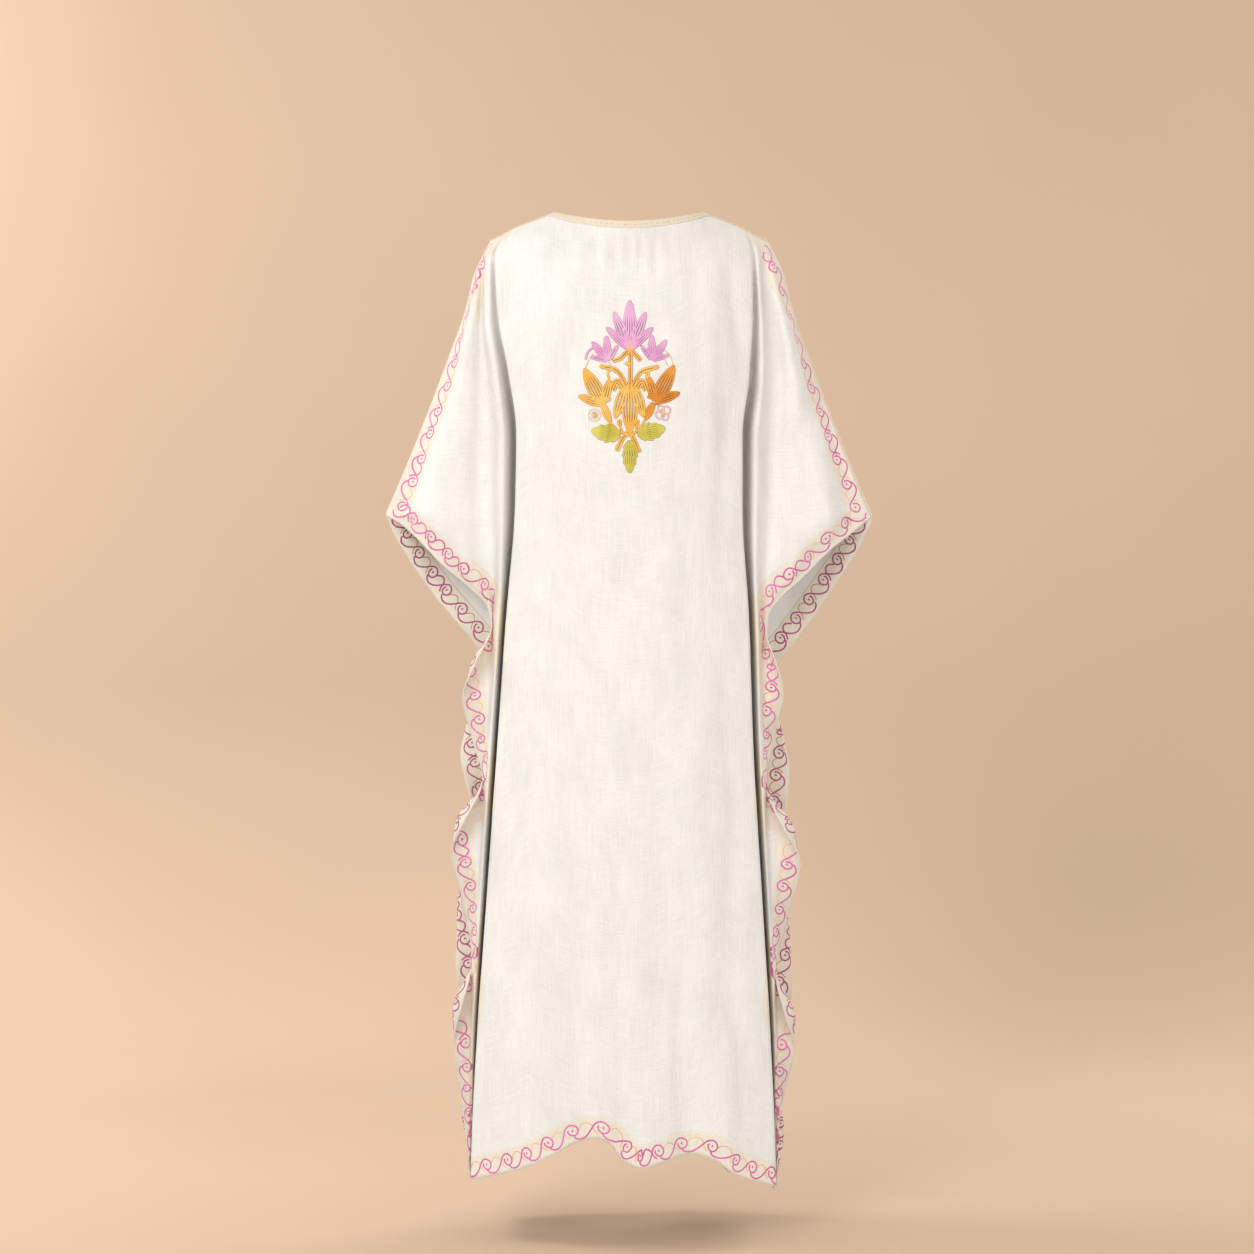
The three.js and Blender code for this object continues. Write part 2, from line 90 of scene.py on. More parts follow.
SHOULDER_LINE = columns("across drop", (109, 0), (145, 13), (178, 27), (200, 39))
SLEEVE_TOP = columns(
    "drop across",
    (39, 200), (61, 212), (90, 225), (142, 238), (210, 262), (295, 294), (368, 323), (443, 355),
)
MIDDLE = columns(
    "drop back front",
    (12, 70, 70), (90, 100, 96), (200, 119, 122), (290, 121, 129), (430, 113, 117),
    (560, 109, 112), (760, 114, 114), (1050, 121, 121), (1404, 131, 130),
)
FOLDS = columns(
    "drop turn_left turn_right stand seam_out seam_stand roll_out roll_deep root_out root_deep",
    (39, 170, 168, 30, 6, 28, 12, 2, 21, 6),
    (80, 193, 177, 45, 3, 33, 9, 5, 18, 21),
    (160, 190, 178, 60, 3, 34, 12, 8, 26, 37),
    (250, 174, 174, 65, 3, 22, 17, 8, 35, 40),
    (345, 162, 163, 63, 3, SIDE_STAND, 20, 9, 41, 40),
    (450, 164, 163, 61, 3, SIDE_STAND, 19, 10, 38, 38),
    (600, 176, 172, 60, 3, SIDE_STAND, 12, 11, 22, 31),
    (800, 190, 179, 63, 3, SIDE_STAND, 11, 14, 18, 30),
    (1000, 204, 191, 67, 3, SIDE_STAND, 10, 18, 16, 32),
    (1200, 218, 203, 71, 2, SIDE_STAND, 8, 27, 13, 33),
    (1330, 225, 209, 74, 1, SIDE_STAND, 4, 44, 7, 40),
    (1404, 227, 211, 76, 0.5, SIDE_STAND, 1.5, 61, 2.5, 48),
)
EDGE_COLUMNS = "drop out stand curl"
EDGE_BACK_LEFT = columns(
    EDGE_COLUMNS,
    (443, 355, 0.15, 0), (455, 334, 10, 0), (472, 314, 18, 0), (514, 273, 30, 0),
    (550, 231, 34, 0), (580, 205, 34, 0), (609, 199, 36, 0), (660, 221, 62, 30),
    (711, 241, 40, 10), (772, 228, 12, 0), (832, 212, 32, 2), (886, 236, 66, 46),
    (936, 258, 42, 12), (1010, 240, 12, 0), (1095, 228, 32, 2), (1156, 241, 64, 36),
    (1213, 254, 42, 8), (1283, 246, 16, 0), (1345, 237, 24, 0), (1404, 230, 44, 0),
)
EDGE_BACK_RIGHT = columns(
    EDGE_COLUMNS,
    (443, 353, 0.15, 0), (463, 328, 12, 0), (492, 291, 24, 0), (534, 248, 34, 0),
    (560, 219, 34, 0), (585, 203, 34, 0), (614, 199, 38, 0), (655, 212, 56, 12),
    (697, 223, 42, 6), (765, 210, 12, 0), (835, 198, 32, 2), (890, 222, 64, 50),
    (945, 248, 42, 12), (1025, 229, 12, 0), (1097, 211, 32, 2), (1160, 225, 64, 38),
    (1210, 239, 42, 8), (1273, 227, 16, 0), (1335, 216, 24, 0), (1404, 214, 44, 0),
)
EDGE_FRONT_LEFT = columns(
    EDGE_COLUMNS,
    (443, 355, 0.15, 0), (470, 345, 12, 0), (508, 323, 26, 0), (558, 289, 36, 0),
    (601, 253, 36, 0), (640, 223, 34, 0), (672, 214, 36, 2), (735, 232, 62, 30),
    (795, 248, 42, 10), (860, 232, 12, 0), (925, 221, 32, 2), (1010, 240, 66, 40),
    (1100, 255, 42, 10), (1180, 243, 14, 0), (1250, 233, 32, 2), (1320, 239, 56, 20),
    (1404, 230, 44, 0),
)
EDGE_FRONT_RIGHT = columns(
    EDGE_COLUMNS,
    (443, 353, 0.15, 0), (473, 341, 12, 0), (512, 318, 26, 0), (563, 284, 36, 0),
    (610, 249, 36, 0), (650, 219, 34, 0), (690, 207, 36, 2), (748, 222, 60, 28),
    (800, 236, 42, 12), (868, 227, 12, 0), (940, 212, 32, 2), (1030, 227, 66, 34),
    (1105, 240, 42, 10), (1185, 230, 14, 0), (1260, 217, 32, 2), (1325, 221, 54, 18),
    (1404, 214, 44, 0),
)
HEM_BACK = columns(
    "at drop proud",
    (230, 1398, 0), (175, 1383, 5), (142, 1371, 8), (108, 1354, 2), (73, 1337, -8),
    (46, 1332, -12), (26, 1339, -5), (10, 1359, 6), (-18, 1370, 11), (-50, 1363, 4),
    (-90, 1354, -9), (-122, 1363, -2), (-150, 1383, 7), (-214, 1409, 0),
)
HEM_FRONT = columns(
    "at drop proud",
    (230, 1396, 0), (165, 1388, 7), (118, 1366, -6), (66, 1360, -9), (22, 1374, 8),
    (-30, 1366, 3), (-82, 1358, -10), (-120, 1386, 2), (-152, 1420, 8), (-214, 1426, 0),
)

# Soft creases on top of the form: ridges where depth is positive, troughs where it is negative.
# Each runs between two places on its panel, side being + on the wearer's left.
CREASES_BACK = columns(
    "side_from drop_from side_to drop_to width depth",
    (13, 560, -6, 1380, 24, 5), (-44, 640, -50, 1380, 20, -4), (60, 700, 66, 1380, 26, -5),
    (104, 620, 112, 1380, 18, 4), (150, 760, 162, 1390, 16, -4), (-96, 700, -104, 1390, 18, 4),
    (-140, 640, -158, 1390, 16, -4), (30, 980, 34, 1370, 12, 3), (-74, 1000, -76, 1370, 10, -3),
    (166, 60, 176, 175, 10, -4), (-150, 70, -160, 250, 12, -4), (120, 110, 132, 420, 16, 3),
    (-112, 120, -128, 430, 14, 3), (84, 330, 96, 700, 20, -3), (-70, 360, -84, 720, 18, -3),
    (142, 240, 132, 560, 12, -3), (-140, 260, -130, 560, 12, -3), (62, 30, 74, 150, 10, 1.6),
    (-66, 34, -78, 160, 10, 1.6), (-8, 22, -8, 96, 3.2, 2.0), (-15, 22, -16, 80, 2.6, -1.6),
    (0, 22, 1, 80, 2.6, -1.6), (10, 22, 12, 130, 4.5, 1.5), (21, 22, 23, 110, 4.0, -1.6),
    (32, 22, 37, 150, 5.0, 1.7), (44, 22, 50, 120, 4.5, -1.4), (-25, 22, -28, 120, 4.0, 1.5),
    (-35, 22, -39, 140, 4.5, -1.6), (-47, 22, -53, 120, 5.0, 1.5), (-58, 24, -66, 100, 4.5, -1.3),
    (14, 110, 16, 240, 9, -2.0), (-22, 120, -24, 260, 9, 2.0), (52, 130, 60, 300, 11, -2.2),
    (-56, 150, -64, 320, 11, 2.2), (90, 60, 104, 260, 12, 2.2), (-92, 60, -106, 270, 12, -2.2),
)
CREASES_FRONT = columns(
    "side_from drop_from side_to drop_to width depth",
    (-10, 520, 8, 1380, 22, 5), (40, 600, 52, 1380, 20, -4), (-58, 660, -66, 1380, 24, -5),
    (-108, 600, -116, 1380, 18, 4), (96, 640, 108, 1390, 18, 4), (148, 720, 160, 1390, 16, -4),
    (-148, 700, -162, 1390, 16, -4), (74, 960, 78, 1370, 11, 3), (-28, 1000, -34, 1370, 12, -3),
    (160, 70, 172, 190, 11, -4), (-158, 76, -166, 230, 12, -4), (118, 120, 128, 400, 15, 3),
    (-120, 130, -130, 420, 14, 3), (70, 300, 88, 640, 20, -3), (-76, 320, -90, 660, 18, -3),
    (20, 210, 26, 420, 12, 2), (-24, 214, -32, 430, 12, 2),
)
SLEEVE_CREASES = columns(
    "side_from drop_from side_to drop_to width depth",
    (228, 110, 236, 600, 9, 3.5), (252, 190, 262, 560, 10, -3.5), (276, 260, 292, 530, 9, 3),
    (306, 330, 322, 480, 8, -2.5), (-226, 120, -236, 600, 9, 3.5), (-254, 210, -262, 560, 10, -3.5),
    (-280, 280, -294, 530, 9, 3), (-308, 340, -322, 480, 8, -2.5),
)


def blend(start, end, share):
    return start + (end - start) * share


def clamp01(value):
    return np.clip(value, 0.0, 1.0)


def read(table, key, column, at):
    """Smooth reading of a column, flat at its peaks, for keys that rise or fall."""
    keys, values, at = table[key], table[column], np.asarray(at, float)
    if keys[1] < keys[0]:
        keys, at = -keys, -at
    rise = np.diff(values) / np.diff(keys)
    before, after = rise[:-1], rise[1:]
    peak = before * after <= 0
    inner = np.where(peak, 0.0, 2 * before * after / np.where(peak, 1.0, before + after))
    slope = np.concatenate([rise[:1], inner, rise[-1:]])
    i = np.clip(np.searchsorted(keys, at) - 1, 0, len(keys) - 2)
    span = keys[i + 1] - keys[i]
    t = clamp01((at - keys[i]) / span)
    t2, t3 = t * t, t * t * t
    return (
        (2 * t3 - 3 * t2 + 1) * values[i]
        + (t3 - 2 * t2 + t) * slope[i] * span
        + (3 * t2 - 2 * t3) * values[i + 1]
        + (t3 - t2) * slope[i + 1] * span
    )


BACK = {
    "name": "back", "facing": 1, "neck_dip": 20.0, "neck_reach": 60.0, "neck_bend": 1.0,
    "left": EDGE_BACK_LEFT, "right": EDGE_BACK_RIGHT, "hem": HEM_BACK, "creases": CREASES_BACK,
}
FRONT = {
    "name": "front", "facing": -1, "neck_dip": 158.0, "neck_reach": 100.0, "neck_bend": 0.8,
    "left": EDGE_FRONT_LEFT, "right": EDGE_FRONT_RIGHT, "hem": HEM_FRONT,
    "creases": CREASES_FRONT,
}


def top_edge(panel, across):
    """Drop and stand of a panel's top edge: the neckline, then the shoulder seam."""
    inside = np.maximum(0.0, 1 - (across / NECK_HALF) ** 2)
    on_neck = across < NECK_HALF
    seam = read(SHOULDER_LINE, "across", "drop", across)
    drop = np.where(on_neck, panel["neck_dip"] * inside ** panel["neck_bend"], seam)
    return drop, SEAM_STAND + panel["neck_reach"] * inside**0.75


def flange(root, edge, drop, share):
    """The sleeve, or the flange under it, from its root to the outer edge."""
    root_out, root_stand = root
    edge_out, edge_stand, curl = edge
    lean = blend(root_out, edge_out, 0.5) + curl
    depth = blend(root_stand, edge_stand, 0.5) - 0.35 * curl
    a, b, c = (1 - share) ** 2, 2 * share * (1 - share), share**2
    swell = SLEEVE_SWELL * clamp01((drop - SHOULDER_DROP) / 150) * clamp01((600 - drop) / 150)
    profile = np.sin(math.pi * share) ** 2
    out = a * root_out + b * lean + c * edge_out
    return out, a * root_stand + b * depth + c * edge_stand + swell * profile


def form(panel, across, drop):
    """Mid-surface of a panel in millimetres. across runs from 5 at the left edge through 0 at the
    centre to -5 at the right edge, with the turns at 1 and -1; drop is that of the outer edge."""
    left = across >= 0
    mirror = np.where(left, 1.0, -1.0)
    a = np.abs(across)

    def fold(column):
        return read(FOLDS, "drop", column, drop)

    turn_out = np.where(left, fold("turn_left"), fold("turn_right"))
    turn_stand = fold("stand")
    groove_out = turn_out + fold("seam_out")
    groove_stand = fold("seam_stand")
    roll_out, roll_stand = turn_out + fold("roll_out"), turn_stand - fold("roll_deep")
    root_out, root_stand = turn_out + fold("root_out"), turn_stand - fold("root_deep")

    def free_edge(column):
        return np.where(
            left,
            read(panel["left"], "drop", column, drop),
            read(panel["right"], "drop", column, drop),
        )

    on_seam = drop <= TIP_DROP
    edge = (
        np.where(on_seam, read(SLEEVE_TOP, "drop", "across", drop), free_edge("out")),
        np.where(on_seam, SEAM_STAND, free_edge("stand")),
        np.where(on_seam, 0.0, free_edge("curl")),
    )

    angle = math.pi / 2 * clamp01(a - 1)
    eased2 = (1 - np.cos(math.pi * clamp01(a - 2))) / 2
    eased3 = (1 - np.cos(math.pi * clamp01(a - 3))) / 2
    flange_out, flange_stand = flange((root_out, root_stand), edge, drop, clamp01(a - 4))
    legs = [a <= 1, a <= 2, a <= 3, a <= 4]
    out = np.select(
        legs,
        [
            a * turn_out,
            blend(turn_out, groove_out, 1 - np.cos(angle)),
            blend(groove_out, roll_out, clamp01(a - 2)),
            blend(roll_out, root_out, clamp01(a - 3)),
        ],
        flange_out,
    )
    seam_at = np.where(a <= 1, a * TURN_AT_SEAM, blend(TURN_AT_SEAM, SHOULDER_HALF, (a - 1) / 4))
    top_drop, top_stand = top_edge(panel, seam_at)
    hem_drop = read(panel["hem"], "at", "drop", mirror * out)
    share = (drop - SHOULDER_DROP) / (HEM_DROP - SHOULDER_DROP)
    own_drop = blend(top_drop, hem_drop, share)

    middle = read(MIDDLE, "drop", panel["name"], own_drop)
    wave = clamp01((drop - HEM_WAVE_TOP) / (HEM_DROP - HEM_WAVE_TOP)) ** 1.5
    proud = wave * (1 - clamp01(a) ** 4) * read(panel["hem"], "at", "proud", mirror * out)
    flat = proud + blend(turn_stand, middle, np.cos(math.pi / 2 * clamp01(a) ** 1.3))
    stand = np.select(
        legs,
        [
            flat,
            blend(turn_stand, groove_stand, np.sin(angle)),
            blend(groove_stand, roll_stand, eased2),
            blend(roll_stand, root_stand, eased3),
        ],
        flange_stand,
    )
    fall = clamp01((own_drop - top_drop) / SHOULDER_ROUND)
    over_neck = clamp01(1.4 - seam_at / NECK_HALF)
    curve = blend(np.sqrt(1 - (1 - fall) ** 2), np.sin(math.pi / 2 * fall), over_neck)
    stand = blend(top_stand, stand, curve)
    shape = np.broadcast(across, drop).shape
    parts = (mirror * out, panel["facing"] * stand, -own_drop)
    return np.stack([np.broadcast_to(part, shape) for part in parts], -1)


def crease_height(table, side, drop):
    """Height of the soft creases at places on a panel, in millimetres."""
    height = np.zeros_like(side)
    for k, (side_a, drop_a, side_b, drop_b, width, depth) in enumerate(table_rows(table)):
        run_side, run_drop = side_b - side_a, drop_b - drop_a
        length = math.hypot(run_side, run_drop)
        along = ((side - side_a) * run_side + (drop - drop_a) * run_drop) / length
        off = ((side - side_a) * run_drop - (drop - drop_a) * run_side) / length
        wander = 0.35 * width * np.sin(along / 61 + 1.7 * k)
        share = clamp01(along / length)
        inside = (along > 0) & (along < length)
        ends = np.sin(math.pi * clamp01(share * 0.84 + 0.08)) ** 0.8 * inside
        ends = ends * clamp01(along / 30) * clamp01((length - along) / 12)
        height += depth * ends * np.exp(-(((off + wander) / width) ** 2))
    return height


def unit(vectors):
    return vectors / np.maximum(np.linalg.norm(vectors, axis=-1, keepdims=True), 1e-12)


def grid_normals(points):
    """Unit normals of a grid of points, rows down by columns across."""
    return unit(np.cross(np.gradient(points, axis=0), np.gradient(points, axis=1)))


def running_length(line):
    """Distance of each point of a line from its first point, along the line."""
    steps = np.linalg.norm(np.diff(line, axis=0), axis=1)
    return np.concatenate([[0], np.cumsum(steps)])


def read_grid(grid, rows, cols):
    """Values of a grid at fractional rows and columns."""
    rows = np.clip(rows, 0, grid.shape[0] - 1.001)
    cols = np.clip(cols, 0, grid.shape[1] - 1.001)
    i, j = rows.astype(int), cols.astype(int)
    u, v = (rows - i)[..., None], (cols - j)[..., None]
    upper = blend(grid[i, j], grid[i, j + 1], v)
    return blend(upper, blend(grid[i + 1, j], grid[i + 1, j + 1], v), u)


FLAT_STEPS = 44
FOLD_STEPS = 8
FLANGE_STEPS = 26
ROW_BANDS = ((57, 8), (111, 12), (TIP_DROP, 60), (614, 32), (HEM_DROP, 124))


class Cloth:
    """A panel's mid-surface as a grid in metres, read at any row and column between its points."""

    def __init__(self, panel, crease_scale):
        half = np.concatenate(
            [np.linspace(0, 1, FLAT_STEPS + 1)]
            + [np.linspace(k, k + 1, FOLD_STEPS + 1)[1:] for k in (1, 2, 3)]
            + [np.linspace(4, 5, FLANGE_STEPS + 1)[1:]]
        )
        drops = [np.array([SHOULDER_DROP])]
        for to, steps in ROW_BANDS:
            drops.append(np.linspace(drops[-1][-1], to, steps + 1)[1:])
        self.facing = panel["facing"]
        self.across = np.concatenate([half[:0:-1], -half])
        self.drops = np.concatenate(drops)
        base = form(panel, self.across[None, :], self.drops[:, None])
        normals = self.facing * grid_normals(base)
        side, drop = base[..., 0], -base[..., 2]
        height = crease_height(panel["creases"], side, drop)
        height += crease_height(SLEEVE_CREASES, side, drop)
        a = np.abs(self.across)[None, :]
        free = clamp01((self.drops[:, None] - SHOULDER_DROP) / 40)
        free = free * np.where(self.drops[:, None] <= TIP_DROP, clamp01((5 - a) * 4), 1.0)
        points = base + normals * (height * free * crease_scale)[..., None]
        stand = self.facing * points[..., 1]
        points[..., 1] = self.facing * np.maximum(stand, SEAM_STAND)
        self.points = points * MM
        self.normals = self.facing * grid_normals(self.points)
        self.tip_row = int(np.argmin(np.abs(self.drops - TIP_DROP)))

    def at(self, rows, cols):
        """Points and unit normals at fractional rows and columns."""
        points = read_grid(self.points, rows, cols)
        return points, unit(read_grid(self.normals, rows, cols))

    def slopes(self, rows, cols):
        """Moves along the cloth for one row down and for one column across."""
        half = 0.5
        down = self.at(rows + half, cols)[0] - self.at(rows - half, cols)[0]
        over = self.at(rows, cols + half)[0] - self.at(rows, cols - half)[0]
        at_edge = (cols < half) | (cols > self.points.shape[1] - 1 - half)
        over = np.where(at_edge[..., None], over * 2, over)
        at_end = (rows < half) | (rows > self.points.shape[0] - 1 - half)
        down = np.where(at_end[..., None], down * 2, down)
        return down, over

    def step(self, rows, cols, move):
        """Row and column steps that make a small move along the cloth."""
        down, over = self.slopes(rows, cols)
        dd, oo, do = (down**2).sum(-1), (over**2).sum(-1), (down * over).sum(-1)
        md, mo = (move * down).sum(-1), (move * over).sum(-1)
        det = np.maximum(dd * oo - do**2, 1e-18)
        return (md * oo - mo * do) / det, (mo * dd - md * do) / det

    def find(self, side, drop):
        """Rows and columns of places on the flat of the panel, given in metres."""
        side, drop = np.asarray(side, float), np.asarray(drop, float)
        rows = np.interp(drop / MM, self.drops, np.arange(len(self.drops)))
        middle = (len(self.across) - 1) / 2
        cols = middle - side / (0.170 / FLAT_STEPS)
        for _ in range(12):
            error = np.stack([side, np.zeros_like(side), -drop], -1) - self.at(rows, cols)[0]
            error[..., 1] = 0
            down, over = self.slopes(rows, cols)
            down, over = down[..., [0, 2]], over[..., [0, 2]]
            det = down[..., 0] * over[..., 1] - down[..., 1] * over[..., 0]
            det = np.where(np.abs(det) < 1e-12, 1e-12, det)
            ex, ez = error[..., 0], error[..., 2]
            rows = rows + 0.8 * (ex * over[..., 1] - ez * over[..., 0]) / det
            cols = cols + 0.8 * (ez * down[..., 0] - ex * down[..., 1]) / det
        return rows, cols


# ---- Mesh making -------------------------------------------------------------------------------


def make_mesh(name, points, faces, material):
    mesh = bpy.data.meshes.new(name)
    mesh.from_pydata(points.tolist(), [], faces.tolist())
    mesh.polygons.foreach_set("use_smooth", np.ones(len(mesh.polygons), bool))
    mesh.materials.append(material)
    mesh.update()
    piece = bpy.data.objects.new(name, mesh)
    bpy.context.scene.collection.objects.link(piece)
    return piece


def wall_faces(rows, cols, flip):
    """Quads of a closed wall around a grid: outer face, inner face and rim."""
    index = np.arange(rows * cols).reshape(rows, cols)
    inner = index + rows * cols

    def quads(a, b, c, d):
        return np.stack([a.ravel(), b.ravel(), c.ravel(), d.ravel()], 1)

    faces = [
        quads(index[:-1, :-1], index[1:, :-1], index[1:, 1:], index[:-1, 1:]),
        quads(inner[:-1, :-1], inner[:-1, 1:], inner[1:, 1:], inner[1:, :-1]),
        quads(index[0, :-1], index[0, 1:], inner[0, 1:], inner[0, :-1]),
        quads(index[-1, :-1], inner[-1, :-1], inner[-1, 1:], index[-1, 1:]),
        quads(index[:-1, 0], inner[:-1, 0], inner[1:, 0], index[1:, 0]),
        quads(index[:-1, -1], index[1:, -1], inner[1:, -1], inner[:-1, -1]),
    ]
    faces = np.concatenate(faces)
    return faces[:, ::-1] if flip else faces


def cloth_lengths(points):
    """Distances across from the middle column and down from the top row, in metres."""
    over = np.linalg.norm(np.diff(points, axis=1), axis=-1)
    over = np.concatenate([np.zeros((len(points), 1)), np.cumsum(over, 1)], 1)
    over = over - over[:, [over.shape[1] // 2]]
    down = np.linalg.norm(np.diff(points, axis=0), axis=-1)
    down = np.concatenate([np.zeros((1, points.shape[1])), np.cumsum(down, 0)], 0)
    return np.stack([over, down], -1)


def add_cloth_map(piece, flat):
    mesh = piece.data
    corner = np.zeros(len(mesh.loops), int)
    mesh.loops.foreach_get("vertex_index", corner)
    layer = mesh.uv_layers.new(name="cloth")
    layer.data.foreach_set("uv", flat[corner].ravel())


def add_values(piece, name, values):
    """Stores one number at each point, for the piece's material to read."""
    layer = piece.data.attributes.new(name, "FLOAT", "POINT")
    layer.data.foreach_set("value", values)


def make_wall(name, panel, grid, normals, half, gap, material):
    """A closed wall around a grid, at least a gap away from the plane where the panels meet."""
    points = np.concatenate(
        [(grid + normals * half).reshape(-1, 3), (grid - normals * half).reshape(-1, 3)]
    )
    points[:, 1] = panel["facing"] * np.maximum(panel["facing"] * points[:, 1], gap)
    piece = make_mesh(name, points, wall_faces(*grid.shape[:2], panel["facing"] < 0), material)
    flat = cloth_lengths(grid).reshape(-1, 2)
    add_cloth_map(piece, np.concatenate([flat, flat]))
    return piece


# Width, height and pitch of each kind of stitch; the border's main line has its own settings.
HEM_STITCH = (1.1 * MM, 1.9 * MM, 4.5 * MM)
SHOULDER_STITCH = (1.6 * MM, 1.2 * MM, 3.2 * MM)
SEAM_STITCH = (2.4 * MM, 1.5 * MM, 9 * MM)
BINDING_STITCH = (1.5 * MM, 1.1 * MM, 9 * MM)
ARCH_STITCH = (2.4 * MM, 1.8 * MM, 2.6 * MM)
MOTIF_STITCH = (3.4 * MM, 2.8 * MM, 3.4 * MM)
SCROLL_PITCH = 3.0 * MM
TUBE_SIDES = 6
CAP_QUADS = np.array([[0, 1, 2, 3], [0, 3, 4, 5]])


def thread_mesh(name, paths, material, stitch):
    """Rows of chain stitch: closed tubes along paths of (points, normals, width scale)."""
    width, height, pitch = stitch
    points, faces, start = [], [], 0
    angles = np.arange(TUBE_SIDES) * 2 * math.pi / TUBE_SIDES
    for line, normals, scale in paths:
        count = len(line)
        tangent = unit(np.gradient(line, axis=0))
        side = unit(np.cross(tangent, normals))
        up = np.cross(side, tangent)
        run = running_length(line)
        swell = scale * (1 + 0.13 * np.cos(2 * math.pi * run / pitch))
        ends = np.minimum(1, np.minimum(run, run[-1] - run) / (0.5 * width) + 0.35)
        swell = swell * ends
        ring = (
            line[:, None]
            + side[:, None] * (np.cos(angles)[None, :, None] * (swell * width / 2)[:, None, None])
            + up[:, None] * (np.sin(angles)[None, :, None] * (swell * height / 2)[:, None, None])
        )
        points.append(ring.reshape(-1, 3))
        index = start + np.arange(count * TUBE_SIDES).reshape(count, TUBE_SIDES)
        turned = np.roll(index, -1, axis=1)
        quads = np.stack([index[:-1], turned[:-1], turned[1:], index[1:]], -1).reshape(-1, 4)
        faces += [quads, index[0, ::-1][CAP_QUADS], index[-1][CAP_QUADS]]
        start += count * TUBE_SIDES
    piece = make_mesh(name, np.concatenate(points), np.concatenate(faces), material)
    # Crown is the height round each tube; the thread materials turn low values into painted shade.
    add_values(piece, "crown", np.tile(np.sin(angles), start // TUBE_SIDES))
    return piece


def smooth_line(controls, step):
    """Catmull-Rom line through control rows, sampled about every step of their own unit."""
    controls = np.asarray(controls, float)
    padded = np.concatenate([2 * controls[:1] - controls[1:2], controls,
                             2 * controls[-1:] - controls[-2:-1]])
    parts = []
    for k in range(len(controls) - 1):
        p0, p1, p2, p3 = padded[k : k + 4]
        count = max(2, int(math.ceil(np.linalg.norm(p2 - p1) / step)))
        t = (np.arange(count) / count)[:, None]
        parts.append(0.5 * (2 * p1 + (p2 - p0) * t + (2 * p0 - 5 * p1 + 4 * p2 - p3) * t**2
                            + (3 * p1 - p0 - 3 * p2 + p3) * t**3))
    return np.concatenate(parts + [controls[-1:]])


# ---- Materials ---------------------------------------------------------------------------------


def new_node(tree, kind, **settings):
    node = tree.nodes.new(kind)
    for key, value in settings.items():
        setattr(node, key, value)
    return node


def math_node(tree, operation, first, second=None, third=None):
    node = new_node(tree, "ShaderNodeMath", operation=operation)
    for socket, value in zip(node.inputs, (first, second, third)):
        if value is None:
            continue
        if isinstance(value, (int, float)):
            socket.default_value = value
        else:
            tree.links.new(value, socket)
    return node.outputs[0]


def new_group(name, inputs, outputs):
    """An empty shader node group with named float or colour sockets."""
    group = bpy.data.node_groups.new(name, "ShaderNodeTree")
    for socket, kind, default in inputs:
        made = group.interface.new_socket(socket, in_out="INPUT", socket_type=kind)
        made.default_value = default
    for socket, kind in outputs:
        group.interface.new_socket(socket, in_out="OUTPUT", socket_type=kind)
    return group, new_node(group, "NodeGroupInput"), new_node(group, "NodeGroupOutput")


def streaks(tree, u, v, size_u, size_v, detail):
    """Noise drawn out along the cloth's two directions, from lengths in metres."""
    place = new_node(tree, "ShaderNodeCombineXYZ")
    tree.links.new(math_node(tree, "DIVIDE", u, size_u), place.inputs[0])
    tree.links.new(math_node(tree, "DIVIDE", v, size_v), place.inputs[1])
    noise = new_node(tree, "ShaderNodeTexNoise")
    noise.inputs["Scale"].default_value = 1.0
    noise.inputs["Detail"].default_value = detail
    noise.inputs["Roughness"].default_value = 0.6
    tree.links.new(place.outputs[0], noise.inputs["Vector"])
    return noise.outputs["Fac"]


def weave_group():
    """Plain weave with slubs along both thread directions: its height and its tone."""
    group, given, result = new_group(
        "slub weave",
        [("Pitch", "NodeSocketFloat", 0.0011), ("Slub", "NodeSocketFloat", 1.0)],
        [("Height", "NodeSocketFloat"), ("Tone", "NodeSocketFloat")],
    )
    cloth_map = new_node(group, "ShaderNodeUVMap", uv_map="cloth")
    split = new_node(group, "ShaderNodeSeparateXYZ")
    group.links.new(cloth_map.outputs[0], split.inputs[0])
    u, v = split.outputs[0], split.outputs[1]
    turn = math_node(group, "DIVIDE", 2 * math.pi, given.outputs["Pitch"])
    warp = math_node(group, "SINE", math_node(group, "MULTIPLY", u, turn))
    weft = math_node(group, "SINE", math_node(group, "MULTIPLY", v, turn))
    fine = math_node(group, "MULTIPLY", warp, weft)
    level = streaks(group, u, v, 0.030, 0.0016, 2.0)
    upright = streaks(group, u, v, 0.0018, 0.055, 2.0)
    cloudy = streaks(group, u, v, 0.05, 0.09, 3.0)
    slubs = math_node(group, "ADD", level, upright)
    slubs = math_node(group, "MULTIPLY", slubs, given.outputs["Slub"])
    height = math_node(group, "MULTIPLY_ADD", fine, 0.12, slubs)
    tone = math_node(group, "ADD", slubs, cloudy)
    group.links.new(height, result.inputs["Height"])
    group.links.new(tone, result.inputs["Tone"])
    return group


